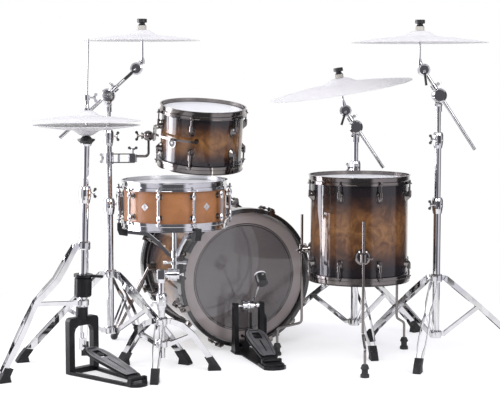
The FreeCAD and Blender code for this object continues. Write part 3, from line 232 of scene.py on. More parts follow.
class SharedEffects:
    """Surface effects that several finishes use, each built once as a node group."""

    def __init__(self) -> None:
        """Builds the groups."""
        self.handling = self._handling()
        self.figure = self._figure()
        self.pebble = self._pebble()
        self.lathe = self._lathe()

    def _handling(self) -> bpy.types.NodeTree:
        """Returns faint cloudy smears that change how sharply plating mirrors."""
        group, tree, source, sink = start_group(
            "Handling marks",
            [("Vector", "Vector", None), ("Scale", "Float", 30.0), ("Clean", "Float", 0.06),
             ("Smeared", "Float", 0.14)],
            [("Roughness", "Float"), ("Tint", "Float")])
        here = source.outputs["Vector"]
        cloud = tree.add("TexNoise", Vector=here, Scale=source.outputs["Scale"], Detail=4.0)
        mask = tree.band(cloud.outputs["Fac"], 0.35, 0.72)
        spread = tree.math("SUBTRACT", source.outputs["Smeared"], source.outputs["Clean"])
        rough = tree.math("ADD", source.outputs["Clean"], tree.math("MULTIPLY", mask, spread))
        tree.fill(sink, Roughness=rough, Tint=tree.math("SUBTRACT", 1.0, tree.math("MULTIPLY", mask, 0.08)))
        return group

    def _figure(self) -> bpy.types.NodeTree:
        """Returns curly wood figure with fine pores along the grain."""
        group, tree, source, sink = start_group(
            "Wood figure",
            [("Vector", "Vector", None), ("Curl scale", "Float", 14.0), ("Grain scale", "Float", 60.0),
             ("Warp", "Float", 1.4)],
            [("Curl", "Float"), ("Grain", "Float"), ("Height", "Float")])
        here = source.outputs["Vector"]
        curl = tree.add("TexNoise", Vector=here, Scale=source.outputs["Curl scale"], Detail=5.0,
                        Roughness=0.58, Distortion=source.outputs["Warp"])
        lean = tree.vector("MULTIPLY", here, (1.0, 1.0, 0.12))
        grain = tree.add("TexNoise", Vector=lean, Scale=source.outputs["Grain scale"], Detail=6.0,
                         Roughness=0.65, Distortion=0.4)
        tree.fill(sink, Curl=tree.band(curl.outputs["Fac"], 0.34, 0.68),
                  Grain=tree.band(grain.outputs["Fac"], 0.36, 0.66), Height=grain.outputs["Fac"])
        return group

    def _pebble(self) -> bpy.types.NodeTree:
        """Returns the fine random surface of moulded rubber, powder paint or coated film."""
        group, tree, source, sink = start_group(
            "Pebbled skin",
            [("Vector", "Vector", None), ("Scale", "Float", 900.0), ("Dust", "Float", 0.2)],
            [("Height", "Float"), ("Dust", "Float")])
        here = source.outputs["Vector"]
        fine = tree.add("TexNoise", Vector=here, Scale=source.outputs["Scale"], Detail=2.0)
        broad = tree.add("TexNoise", Vector=here, Scale=18.0, Detail=5.0)
        dust = tree.math("MULTIPLY", tree.band(broad.outputs["Fac"], 0.4, 0.75), source.outputs["Dust"])
        tree.fill(sink, Height=fine.outputs["Fac"], Dust=dust)
        return group

    def _lathe(self) -> bpy.types.NodeTree:
        """Returns concentric tool grooves and broad tonal rings round the local Z axis."""
        group, tree, source, sink = start_group(
            "Lathe grooves",
            [("Vector", "Vector", None), ("Pitch", "Float", 0.0016)],
            [("Height", "Float"), ("Rings", "Float")])
        radius = tree.radius(source.outputs["Vector"])
        turns = tree.math("DIVIDE", radius, source.outputs["Pitch"])
        groove = tree.math("SINE", tree.math("MULTIPLY", turns, math.tau))
        noise = tree.add("TexNoise", Scale=46.0, Detail=3.0)
        noise.noise_dimensions = "1D"
        tree.feed(noise.inputs["W"], radius)
        tree.fill(sink, Height=groove, Rings=noise.outputs["Fac"])
        return group


EFFECTS = SharedEffects()


def axis_turn(axis: Vector) -> Euler:
    """Returns the rotation that takes Z to an axis."""
    return axis.normalized().to_track_quat("Z", "Y").to_euler()


def bumped(tree: Tree, shader: bpy.types.Node, height: Socket, strength: float, depth: float) -> None:
    """Feeds a height into the shader's normal through a Bump node.

    Args:
        tree: Tree of the material.
        shader: Its Principled shader.
        height: Height socket.
        strength: Strength of the bump.
        depth: Depth that the height stands for, in metres.
    """
    bump = tree.add("Bump", Strength=strength, Distance=depth, Height=height)
    tree.fill(shader, Normal=bump.outputs["Normal"])


# ---------------------------------------------------------------- finishes


@dataclass(frozen=True)
class Trim:
    """Another material on a plated node: all of it that lies inside one cylinder of the frame."""

    centre: Vector
    axis: Vector
    low: float
    high: float
    radius: float
    colour: Colour = (0.014, 0.014, 0.015)
    worn: Colour = (0.045, 0.045, 0.046)
    rough: float = 0.38

    def mask(self, tree: Tree) -> Socket:
        """Returns 1 inside the cylinder and 0 outside."""
        local = tree.place(self.centre, axis_turn(self.axis))
        along = tree.part(local, "Z")
        radius = tree.radius(local)
        inside = tree.math("LESS_THAN", radius, self.radius)
        between = tree.math("MULTIPLY", tree.math("GREATER_THAN", along, self.low),
                            tree.math("LESS_THAN", along, self.high))
        return tree.math("MULTIPLY", inside, between)


@dataclass(frozen=True)
class Plating:
    """Polished plating, with rubber, plastic or felt where its trims say so."""

    name: str
    colour: Colour
    clean: float
    smeared: float
    trims: tuple[Trim, ...] = ()

    def trimmed(self, name: str, *trims: Trim) -> "Plating":
        """Returns the same plating under another name, with trims."""
        return replace(self, name=name, trims=trims)

    def material(self) -> bpy.types.Material:
        """Returns the plating's material."""
        material, tree, shader = start_material(self.name)
        here = tree.place()
        marks = tree.group(EFFECTS.handling, Vector=here, Clean=self.clean, Smeared=self.smeared)
        colour = tree.mix(marks.outputs["Tint"], (0.0, 0.0, 0.0), self.colour)
        rough, metal = marks.outputs["Roughness"], 1.0
        if self.trims:
            skin = tree.group(EFFECTS.pebble, Vector=here, Scale=700.0, Dust=0.5)
            bumped(tree, shader, skin.outputs["Height"], 0.03, 0.0002)
        for trim in self.trims:
            mask = trim.mask(tree)
            plain = tree.math("SUBTRACT", 1.0, mask)
            colour = tree.mix(mask, colour, tree.mix(skin.outputs["Dust"], trim.colour, trim.worn))
            rough = tree.math("ADD", tree.math("MULTIPLY", rough, plain),
                              tree.math("MULTIPLY", mask, trim.rough))
            metal = tree.math("MULTIPLY", metal, plain)
        tree.fill(shader, Base_Color=colour, Roughness=rough, Metallic=metal)
        return material


@dataclass(frozen=True)
class BurstLacquer:
    """Figured veneer under clear gloss, stained dark towards both ends of the shell."""

    name: str
    centre: Vector
    turn: Euler
    half: float
    radius: float

    def material(self) -> bpy.types.Material:
        """Returns the material, centred on one shell."""
        material, tree, shader = start_material(self.name)
        local = tree.place(self.centre, self.turn)
        figure = tree.group(EFFECTS.figure, Vector=local, Curl_scale=21.0, Grain_scale=150.0, Warp=1.1)
        along = tree.part(local, "Z")
        reach = tree.math("DIVIDE", tree.math("ABSOLUTE", along), self.half)
        cloud = tree.add("TexNoise", Vector=local, Scale=9.0, Detail=2.0).outputs["Fac"]
        reach = tree.math("ADD", reach, tree.math("MULTIPLY", tree.math("SUBTRACT", cloud, 0.5), 0.10))
        pale = tree.ramp(reach, [(0.0, (0.27, 0.128, 0.043)), (0.28, (0.20, 0.090, 0.031)),
                                 (0.55, (0.058, 0.024, 0.013)), (0.75, (0.010, 0.005, 0.007)),
                                 (1.0, (0.005, 0.003, 0.005))])
        deep = tree.ramp(reach, [(0.0, (0.105, 0.043, 0.013)), (0.28, (0.078, 0.030, 0.010)),
                                 (0.55, (0.022, 0.009, 0.006)), (0.75, (0.006, 0.003, 0.004)),
                                 (1.0, (0.003, 0.002, 0.003))])
        wood = tree.mix(figure.outputs["Curl"], deep, pale)
        wood = tree.mix(tree.math("MULTIPLY", figure.outputs["Grain"], 0.3), wood, deep)
        radius = tree.radius(local)
        outside = tree.math("GREATER_THAN", radius, self.radius - 0.004)
        raw = tree.mix(figure.outputs["Grain"], (0.50, 0.33, 0.19), (0.38, 0.235, 0.125))
        tree.fill(shader, Base_Color=tree.mix(outside, raw, wood), Coat_Weight=outside, Roughness=0.45,
                  Specular_IOR_Level=0.12, Coat_Roughness=0.035, Coat_IOR=1.55)
        return material


@dataclass(frozen=True)
class SatinMaple:
    """Natural maple veneer with a satin seal, its grain running round the shell."""

    name: str = "Satin maple"

    def material(self) -> bpy.types.Material:
        """Returns the material."""
        material, tree, shader = start_material(self.name)
        local = tree.place(turn=Euler((math.radians(90), 0.0, 0.0)))
        figure = tree.group(EFFECTS.figure, Vector=local, Curl_scale=9.0, Grain_scale=150.0, Warp=0.9)
        wood = tree.mix(figure.outputs["Curl"], (0.30, 0.122, 0.042), (0.40, 0.170, 0.064))
        wood = tree.mix(tree.math("MULTIPLY", figure.outputs["Grain"], 0.25), wood, (0.23, 0.086, 0.029))
        tree.fill(shader, Base_Color=wood, Roughness=0.42, Coat_Weight=0.25, Coat_Roughness=0.3)
        bumped(tree, shader, figure.outputs["Height"], 0.12, 0.0004)
        return material


@dataclass(frozen=True)
class GlossLacquer:
    """Black polished lacquer with a silver line on the far hoop."""

    name: str
    centre: Vector
    turn: Euler
    line: float

    def material(self) -> bpy.types.Material:
        """Returns the material, centred on the drum."""
        material, tree, shader = start_material(self.name)
        local = tree.place(self.centre, self.turn)
        along = tree.part(local, "Z")
        off = tree.math("ABSOLUTE", tree.math("SUBTRACT", along, self.line))
        line = tree.math("LESS_THAN", off, 0.0035)
        cloud = tree.add("TexNoise", Vector=local, Scale=24.0, Detail=3.0).outputs["Fac"]
        black = tree.mix(cloud, (0.010, 0.010, 0.011), (0.022, 0.021, 0.022))
        tree.fill(shader, Base_Color=tree.mix(line, black, (0.62, 0.62, 0.64)),
                  Metallic=tree.math("MULTIPLY", line, 0.8), Roughness=0.22, Coat_Weight=1.0,
                  Coat_Roughness=0.05)
        return material


@dataclass(frozen=True)
class CoatedFilm:
    """White sprayed drum film with its fine tooth."""

    name: str = "Coated film"

    def material(self) -> bpy.types.Material:
        """Returns the material."""
        material, tree, shader = start_material(self.name)
        here = tree.place()
        skin = tree.group(EFFECTS.pebble, Vector=here, Scale=1400.0, Dust=0.5)
        white = tree.mix(skin.outputs["Dust"], (0.80, 0.81, 0.83), (0.73, 0.74, 0.77))
        tree.fill(shader, Base_Color=white, Roughness=0.42)
        bumped(tree, shader, skin.outputs["Height"], 0.15, 0.0003)
        return material


@dataclass(frozen=True)
class ClearFilm:
    """Clear smoked film with a dark double ring and a paler outer band."""

    name: str
    centre: Vector
    turn: Euler
    ring: float

    def material(self) -> bpy.types.Material:
        """Returns the material, centred on the drum."""
        material, tree, shader = start_material(self.name)
        local = tree.place(self.centre, self.turn)
        radius = tree.radius(local)
        lines = None
        for middle in (self.ring, self.ring + 0.0068):
            near = tree.math("ABSOLUTE", tree.math("SUBTRACT", radius, middle))
            line = tree.math("LESS_THAN", near, 0.0016)
            lines = line if lines is None else tree.math("MAXIMUM", lines, line)
        outer = tree.band(radius, self.ring, self.ring + 0.008)
        haze = tree.add("TexNoise", Vector=local, Scale=5.0, Detail=3.0).outputs["Fac"]
        inner = tree.mix(haze, (0.185, 0.172, 0.180), (0.255, 0.235, 0.240))
        film = tree.mix(outer, inner, (0.52, 0.46, 0.45))
        alpha = tree.math("ADD", 0.56, tree.math("MULTIPLY", lines, 0.44))
        tree.fill(shader, Base_Color=tree.mix(lines, film, (0.012, 0.012, 0.013)), Alpha=alpha,
                  Roughness=0.07, Specular_IOR_Level=0.75)
        return material


@dataclass(frozen=True)
class PaleCymbal:
    """Pale see-through cymbal with turned grooves."""

    name: str
    centre: Vector

    def material(self) -> bpy.types.Material:
        """Returns the material, centred on one cymbal."""
        material, tree, shader = start_material(self.name)
        local = tree.place(self.centre)
        lathe = tree.group(EFFECTS.lathe, Vector=local, Pitch=0.0035)
        tone = tree.mix(lathe.outputs["Rings"], (0.80, 0.795, 0.79), (0.89, 0.885, 0.88))
        tree.fill(shader, Base_Color=tone, Roughness=0.5, Alpha=0.78)
        bumped(tree, shader, lathe.outputs["Height"], 0.03, 0.0001)
        return material


@dataclass(frozen=True)
class PaintedSteel:
    """Black painted castings, worn a little paler in cloudy patches."""

    name: str = "Black painted steel"
    colour: Colour = (0.007, 0.007, 0.008)
    pale: Colour = (0.018, 0.018, 0.020)
    rough: float = 0.36

    def material(self) -> bpy.types.Material:
        """Returns the material."""
        material, tree, shader = start_material(self.name)
        here = tree.place()
        skin = tree.group(EFFECTS.pebble, Vector=here, Scale=1100.0, Dust=0.8)
        tree.fill(shader, Base_Color=tree.mix(skin.outputs["Dust"], self.colour, self.pale),
                  Roughness=self.rough, Specular_IOR_Level=0.22)
        bumped(tree, shader, skin.outputs["Height"], 0.10, 0.0003)
        return material


@dataclass(frozen=True)
class MouldedRubber:
    """Matt moulded rubber with a trace of dust."""

    name: str = "Moulded rubber"

    def material(self) -> bpy.types.Material:
        """Returns the material."""
        material, tree, shader = start_material(self.name)
        skin = tree.group(EFFECTS.pebble, Vector=tree.place(), Scale=650.0, Dust=0.6)
        rubber = tree.mix(skin.outputs["Dust"], (0.015, 0.015, 0.016), (0.05, 0.05, 0.05))
        tree.fill(shader, Base_Color=rubber, Roughness=0.58, Specular_IOR_Level=0.25)
        bumped(tree, shader, skin.outputs["Height"], 0.2, 0.0004)
        return material


@dataclass(frozen=True)
class TwoToneBeater:
    """Hard beater block, black with a white face on top."""

    name: str
    centre: Vector
    up: Vector

    def material(self) -> bpy.types.Material:
        """Returns the material, split along the block's own axis."""
        material, tree, shader = start_material(self.name)
        here = tree.place(self.centre)
        along = tree.vector("DOT_PRODUCT", here, tuple(self.up))
        skin = tree.group(EFFECTS.pebble, Vector=here, Scale=500.0, Dust=0.5)
        black = tree.mix(skin.outputs["Dust"], (0.014, 0.014, 0.015), (0.04, 0.04, 0.04))
        white = tree.math("GREATER_THAN", along, 0.0165)
        tree.fill(shader, Base_Color=tree.mix(white, black, (0.85, 0.85, 0.85)), Roughness=0.33)
        return material


@dataclass(frozen=True)
class CoiledWire:
    """Bright steel wire, wound in fine turns."""

    name: str = "Coiled wire"

    def material(self) -> bpy.types.Material:
        """Returns the material."""
        material, tree, shader = start_material(self.name)
        here = tree.place()
        along = tree.part(here, "X")
        turn = tree.math("SINE", tree.math("MULTIPLY", along, math.tau / 0.0016))
        marks = tree.group(EFFECTS.handling, Vector=here, Clean=0.18, Smeared=0.3)
        steel = tree.mix(marks.outputs["Tint"], (0.0, 0.0, 0.0), (0.62, 0.62, 0.63))
        tree.fill(shader, Base_Color=steel, Metallic=1.0, Roughness=marks.outputs["Roughness"])
        bumped(tree, shader, turn, 0.6, 0.0004)
        return material


@dataclass(frozen=True)
class SatinAlloy:
    """Bead-blasted grey alloy, with painted shade: near black in its recessed lines and hollows."""

    name: str
    place: Matrix
    # Height in the piece's own frame below which the alloy is painted near black as shade.
    floor: float = -1.0
    colour: Colour = (0.30, 0.30, 0.31)

    def material(self) -> bpy.types.Material:
        """Returns the material, with painted shade: near black below the floor height of the piece's own
        frame.
        """
        material, tree, shader = start_material(self.name)
        local = tree.place(self.place.to_translation(), self.place.to_euler())
        skin = tree.group(EFFECTS.pebble, Vector=local, Scale=1500.0, Dust=0.9)
        marks = tree.group(EFFECTS.handling, Vector=local, Clean=0.30, Smeared=0.42)
        grey = tree.mix(skin.outputs["Dust"], self.colour, tuple(0.72 * c for c in self.colour))
        # Painted shade: everything lower than the floor height, its grooves and hollows among it, is near
        # black and not metallic.
        painted_recess_shade = tree.math("LESS_THAN", tree.part(local, "Z"), self.floor)
        tree.fill(shader, Base_Color=tree.mix(painted_recess_shade, grey, (0.012, 0.012, 0.014)),
                  Roughness=marks.outputs["Roughness"],
                  Metallic=tree.math("MULTIPLY", tree.math("SUBTRACT", 1.0, painted_recess_shade), 0.75))
        bumped(tree, shader, skin.outputs["Height"], 0.12, 0.0002)
        return material


# ---------------------------------------------------------------- making new pieces


class Bench:
    """Starts, shapes and finishes new pieces with Blender's own operators."""

    @staticmethod
    def start(operator: Callable, name: str, **settings: object) -> bpy.types.Object:
        """Adds a primitive with nothing else selected.

        Args:
            operator: The operator that adds it.
            name: Name of the piece.
            settings: Settings of the operator.

        Returns:
            The new piece.
        """
        bpy.ops.object.select_all(action="DESELECT")
        operator(**settings)
        piece = bpy.context.object
        piece.name = piece.data.name = name
        return piece

    @staticmethod
    def pick(piece: bpy.types.Object, test: Callable[[Vector, Vector], bool], mode: str = "FACE") -> None:
        """Selects the faces or vertices whose place and normal pass a test, and goes into edit mode.

        Args:
            piece: The piece.
            test: Takes a place and a normal.
            mode: FACE or VERT.
        """
        bpy.ops.object.mode_set(mode="EDIT")
        bpy.ops.mesh.select_mode(type=mode)
        bpy.ops.mesh.select_all(action="DESELECT")
        bpy.ops.object.mode_set(mode="OBJECT")
        if mode == "FACE":
            for face in piece.data.polygons:
                face.select = test(face.center, face.normal)
        else:
            for vertex in piece.data.vertices:
                vertex.select = test(vertex.co, vertex.normal)
        bpy.ops.object.mode_set(mode="EDIT")

    @staticmethod
    def push(way: tuple[float, float, float]) -> None:
        """Extrudes the selected faces along a way."""
        bpy.ops.mesh.extrude_region_move(TRANSFORM_OT_translate={"value": way})

    @staticmethod
    def soften(piece: bpy.types.Object, width: float, segments: int = 2) -> None:
        """Rounds the sharp edges with a bevel that is applied."""
        bevel = piece.modifiers.new("Softened edges", "BEVEL")
        bevel.width, bevel.segments, bevel.limit_method = width, segments, "ANGLE"
        bevel.angle_limit = math.radians(28)
        bpy.ops.object.modifier_apply(modifier=bevel.name)

    @staticmethod
    def finish(piece: bpy.types.Object, place: Matrix, body: str, slot: Slot,
               material: bpy.types.Material) -> None:
        """Puts a finished piece in its place, dresses it and lets it ride on a body.

        Args:
            piece: The piece, made round its own origin.
            body: Body that it moves with.
            slot: Material slot that its finish stands for. It is not used.
            material: Its material.
        """
        bpy.ops.object.mode_set(mode="EDIT")
        bpy.ops.mesh.select_all(action="SELECT")
        bpy.ops.mesh.remove_doubles(threshold=0.00001)
        bpy.ops.mesh.normals_make_consistent(inside=False)
        bpy.ops.object.mode_set(mode="OBJECT")
        piece.matrix_world = place
        bpy.ops.object.transform_apply(location=True, rotation=True, scale=True)
        bpy.ops.object.shade_smooth_by_angle(angle=math.radians(32))
        piece.data.materials.clear()
        piece.data.materials.append(material)
        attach(piece, body)
        LOG.info("made %s", piece.name)


@dataclass(frozen=True)
class Vent:
    """Cast vent plate with a hollow rivet in its middle, on the outside of a shell."""

    name: str
    body: str
    place: Matrix
    width: float
    # Height in the plate's frame below which it is painted near black as shade.
    painted_shade_below: float
    sides: int = 40

    def build(self) -> None:
        """Models the plate on its own XY plane and sets it on the shell."""
        plate = Bench.start(bpy.ops.mesh.primitive_cylinder_add, self.name, vertices=self.sides, radius=0.5,
                            depth=1.0, end_fill_type="NGON")
        plate.scale = (self.width, self.width, 0.0024)
        bpy.ops.object.transform_apply(location=True, rotation=True, scale=True)
        Bench.pick(plate, lambda middle, normal: normal.z > 0.9)
        bpy.ops.mesh.inset(thickness=0.0026)
        Bench.push((0.0, 0.0, -0.0007))
        bpy.ops.mesh.inset(thickness=self.width * (0.5 if self.sides > 4 else 0.35) - 0.0064)
        Bench.push((0.0, 0.0, 0.0016))
        bpy.ops.mesh.inset(thickness=0.0016)
        Bench.push((0.0, 0.0, -0.0026))
        bpy.ops.object.mode_set(mode="OBJECT")
        Bench.soften(plate, 0.0004)
        plating = SatinAlloy("Vent plate, " + self.name, self.place, self.painted_shade_below, (0.60, 0.60, 0.61))
        Bench.finish(plate, self.place, self.body, Slot.CHROME, plating.material())


@dataclass(frozen=True)
class Tread:
    """Grey tread plate on a footboard, with its toe window, round boss and slot.

    The outline is first laid out from -1 to 1 along the board and across it, and then stretched to size.
    """

    name: str
    board: str
    body: str
    joint: str
    rise: float
    length: float
    widest: float = 0.0405
    bare_heel: float = 0.030
    bare_toe: float = 0.024
    lift: float = 0.0075
    thickness: float = 0.0035
    columns: int = 50
    rows: int = 30

    def frame(self, rise: float) -> Matrix:
        """Returns the frame at the hinge: X towards the toe, Z out of the board.

        Args:
            rise: Slope of the X axis, in radians.
        """
        joint = joint_of(self.joint)
        across = Vector(joint["axis"])
        level = Vector((0.0, 0.0, 1.0)).cross(across)
        toe = middle(self.board) - Vector(joint["pos_m"])
        level = level if level.dot(toe) > 0 else -level
        along = level * math.cos(rise) + Vector((0.0, 0.0, math.sin(rise)))
        up = level * -math.sin(rise) + Vector((0.0, 0.0, math.cos(rise)))
        turn = Matrix((along, up.cross(along), up)).transposed()
        return Matrix.Translation(Vector(joint["pos_m"])) @ turn.to_4x4()

    @staticmethod
    def open(at: Vector) -> bool:
        """Returns whether a place lies in the toe window or in the long slot."""
        window = 0.24 < at.x < 0.72 and abs(at.y) < 0.42 and abs(at.y) < 1.1 - abs(at.x - 0.46) * 3.0
        slot = -0.72 < at.x < 0.12 and abs(at.y) < 0.04
        return window or slot

    @staticmethod
    def grooved(at: Vector) -> bool:
        """Returns whether a place lies in the groove along both sides and across the toe."""
        side = abs(abs(at.y) - 0.70) < 0.04 and at.x < 0.86
        toe = abs(at.x - 0.88) < 0.025 and abs(at.y) < 0.72
        return side or toe

    def half_width(self, along: float) -> float:
        """Returns half the plate's width, as a share of its widest, at a share of its length."""
        stations = ((0.0, 0.62), (0.08, 0.74), (0.50, 0.96), (0.72, 1.0), (0.86, 0.88), (0.95, 0.62),
                    (1.0, 0.36))
        for (low, first), (high, second) in zip(stations, stations[1:]):
            if along <= high:
                share = (along - low) / (high - low)
                return first + (second - first) * share
        return stations[-1][1]

    def build(self) -> None:
        """Models the plate and its boss."""
        place = self.frame(self.rise)
        plate = Bench.start(bpy.ops.mesh.primitive_grid_add, self.name + "_plate",
                            x_subdivisions=self.columns, y_subdivisions=self.rows, size=2.0)
        Bench.pick(plate, lambda at, normal: self.open(at))
        bpy.ops.mesh.delete(type="FACE")
        bpy.ops.object.mode_set(mode="OBJECT")
        Bench.pick(plate, lambda at, normal: self.grooved(at))
        Bench.push((0.0, 0.0, -0.0012))
        bpy.ops.object.mode_set(mode="OBJECT")
        for column in range(self.columns + 1):
            share = column / self.columns
            Bench.pick(plate, lambda at, normal: abs(at.x - (2.0 * share - 1.0)) < 0.004, "VERT")
            bpy.ops.transform.resize(value=(1.0, self.widest * self.half_width(share), 1.0),
                                     center_override=(0.0, 0.0, 0.0))
            bpy.ops.object.mode_set(mode="OBJECT")
        Bench.pick(plate, lambda at, normal: True, "VERT")
        low, high = self.bare_heel, self.length - self.bare_toe
        bpy.ops.transform.resize(value=((high - low) / 2, 1.0, 1.0), center_override=(0.0, 0.0, 0.0))
        bpy.ops.transform.translate(value=((high + low) / 2, 0.0, self.lift))
        bpy.ops.object.mode_set(mode="OBJECT")
        solid = plate.modifiers.new("Thickness", "SOLIDIFY")
        solid.thickness, solid.offset = self.thickness, -1.0
        bpy.ops.object.modifier_apply(modifier=solid.name)
        # Below 0.0066 over the board the grey alloy is painted near black as shade: the grooves, the plate's
        # lower edges and the boss.
        grey = SatinAlloy("Grey alloy, " + self.name, place, 0.0066).material()
        Bench.finish(plate, place, self.body, Slot.STEEL, grey)
        self.boss(place, low + (high - low) * 0.73, grey)

    def boss(self, place: Matrix, along: float, grey: bpy.types.Material) -> None:
        """Models the ribbed round boss in the toe window.

        Args:
            place: Frame of the board.
            along: Distance of its middle from the hinge.
            grey: Its material.
        """
        disc = Bench.start(bpy.ops.mesh.primitive_cylinder_add, self.name + "_boss", vertices=32,
                           radius=0.0135, depth=0.004, location=(along, 0.0, 0.0045))
        Bench.pick(disc, lambda at, normal: normal.z > 0.9)
        for _ in range(3):
            bpy.ops.mesh.inset(thickness=0.0016)
            Bench.push((0.0, 0.0, -0.0009))
            bpy.ops.mesh.inset(thickness=0.0014)
            Bench.push((0.0, 0.0, 0.0009))
        bpy.ops.object.mode_set(mode="OBJECT")
        bpy.ops.object.transform_apply(location=True, rotation=True, scale=True)
        Bench.finish(disc, place, self.body, Slot.STEEL, grey)


# ---------------------------------------------------------------- helpers for pieces


def on_shell(centre: Vector, axis: Vector, radius: float, azimuth: float, height: float) -> Matrix:
    """Returns a frame on the outside of a shell, Z outwards and Y along the shell's axis.

    Args:
        centre: Middle of the shell.
        axis: Its axis.
        radius: Its outer radius.
        azimuth: Direction from the middle, in degrees from X in the frame, before the drum leans.
        height: Distance along the axis from the middle.
    """
    flat = Vector((math.cos(math.radians(azimuth)), math.sin(math.radians(azimuth)), 0.0))
    out = (flat - axis * flat.dot(axis)).normalized()
    turn = Matrix((axis.cross(out), axis, out)).transposed()
    return Matrix.Translation(centre + axis * height + out * radius) @ turn.to_4x4()


def middle(node: str) -> Vector:
    """Returns the middle of a node's box."""
    low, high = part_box(node)
    return (low + high) / 2


def joint_of(name: str) -> dict:
    """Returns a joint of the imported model."""
    return next(joint for joint in frame["joints"] if joint["name"] == name)


def dress(finish: object, *nodes: str) -> bpy.types.Material:
    """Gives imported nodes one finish.

    Args:
        finish: A finish with a material method.
        nodes: Names of the nodes.

    Returns:
        The material.
    """
    material = finish.material()
    for name in nodes:
        node = frame["nodes"][name]
        if not node.material_slots:
            node.data.materials.append(material)
        for slot in node.material_slots:
            slot.material = material
        LOG.info("dressed %s in %s", name, material.name)
    return material


UPRIGHT = Vector((0.0, 0.0, 1.0))
CHROME = Plating("Bright chrome", (0.68, 0.68, 0.69), 0.045, 0.11)
NICKEL = Plating("Black nickel", (0.235, 0.215, 0.205), 0.07, 0.16)


# ---------------------------------------------------------------- sub-assemblies


@dataclass
class BassDrum:
    """Bass drum with hoops, claws, lugs and folding spurs."""

    yaw: float = math.radians(24.0)
    pitch: float = math.radians(1.9)
    half: float = 0.206
    ring: float = 0.203
    radius: float = 0.254
    gasket: float = 0.0023
    far_line: float = 0.012

    def axis(self) -> Vector:
        """Returns the direction from the middle of the shell to the batter head."""
        return Vector((math.sin(self.yaw) * math.cos(self.pitch), -math.cos(self.yaw) * math.cos(self.pitch),
                       -math.sin(self.pitch)))

    def build(self) -> None:
        """Dresses the drum."""
        centre, turn = middle("bass_shell"), axis_turn(self.axis())
        dress(BurstLacquer("Burst lacquer, bass drum", centre, turn, self.half, self.radius), "bass_shell")
        dress(GlossLacquer("Black hoop lacquer", centre, turn, -self.half - self.far_line), "bass_hoops")
        dress(ClearFilm("Smoked film", centre, turn, self.ring), "bass_heads")
        gasket = Trim(centre, self.axis(), -1.0, 1.0, self.radius + self.gasket)
        dress(NICKEL.trimmed("Black nickel, bass drum lugs", gasket), "bass_lugs")
        dress(NICKEL, "bass_claws", "bass_spur_brackets")
        for side in ("left", "right"):
            low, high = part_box("bass_spur_" + side)
            outer = low.x if side == "left" else high.x
            tip = Trim(Vector((outer, (low.y + high.y) / 2, low.z)), UPRIGHT, -0.1, 0.03, 0.04)
            dress(NICKEL.trimmed("Black nickel, %s spur" % side, tip), "bass_spur_" + side)


@dataclass
class UprightDrum:
    """A tom: shell, two heads, two rims and lugs."""

    name: str
    axis: Vector
    half: float
    radius: float
    gasket: float = 0.0023

    def build(self) -> None:
        """Dresses the drum."""
        shell, spoken = self.name + "_shell", self.name.replace("_", " ")
        dress(BurstLacquer("Burst lacquer, " + spoken, middle(shell), axis_turn(self.axis), self.half,
                           self.radius), shell)
        dress(CoatedFilm("Coated film, " + spoken), self.name + "_heads")
        gasket = Trim(middle(shell), self.axis, -1.0, 1.0, self.radius + self.gasket)
        dress(NICKEL.trimmed("Black nickel, %s lugs" % spoken, gasket), self.name + "_lugs")
        dress(NICKEL, self.name + "_rims")


@dataclass
class FloorTom(UprightDrum):
    """Floor tom on three bent legs."""

    foot: float = 0.0475

    def build(self) -> None:
        """Dresses the drum and its legs."""
        super().build()
        dress(NICKEL, "floor_tom_brackets")
        rubber = Trim(Vector(), UPRIGHT, -1.0, self.foot, 9.0, rough=0.6)
        dress(NICKEL.trimmed("Black nickel, rubber feet", rubber),
              *("floor_tom_leg_" + side for side in ("front", "right", "left")))


@dataclass
class RackTom(UprightDrum):
    """Rack tom in its suspension band, on a bent arm from the left stand."""

    vent_azimuth: float = 228.0
    vent_width: float = 0.036

    def build(self) -> None:
        """Dresses the drum, its hanger and its arm."""
        super().build()
        dress(NICKEL, "rack_tom_hanger", "tom_arm")
        dress(CHROME, "tom_clamp")
        place = on_shell(middle("rack_tom_shell"), self.axis, self.radius, self.vent_azimuth, -0.012)
        # Below 0.0009 in its own frame the vent is painted near black as shade.
        Vent("rack_tom_vent", "rack_tom", place, self.vent_width, 0.0009).build()


@dataclass
class SnareDrum:
    """Maple snare drum on its basket stand."""

    radius: float = 0.1805
    lug_seat: float = 0.0032
    vent_azimuths: tuple[float, float] = (239.0, 311.0)
    vent_width: float = 0.028

    def build(self) -> None:
        """Dresses the drum and its stand."""
        dress(SatinMaple(), "snare_shell")
        dress(CoatedFilm("Coated film, snare"), "snare_heads")
        seats = Trim(middle("snare_shell"), UPRIGHT, -1.0, 1.0, self.radius + self.lug_seat)
        dress(CHROME.trimmed("Bright chrome, black seats", seats), "snare_lugs")
        dress(CHROME, "snare_rims", "snare_throw_off", "snare_throw_lever", "snare_butt",
              "snare_stand_base", "snare_stand_tube", "snare_basket")
        dress(CoiledWire(), "snare_wires")
        for number, azimuth in enumerate(self.vent_azimuths, 1):
            place = on_shell(middle("snare_shell"), UPRIGHT, self.radius, azimuth, 0.0)
            # Below height 0 in its own frame each vent is painted near black as shade.
            Vent("snare_vent_%d" % number, "snare_drum", place, self.vent_width, 0.0, 4).build()
        dress(MouldedRubber(), "snare_basket_grips", "stand_feet")


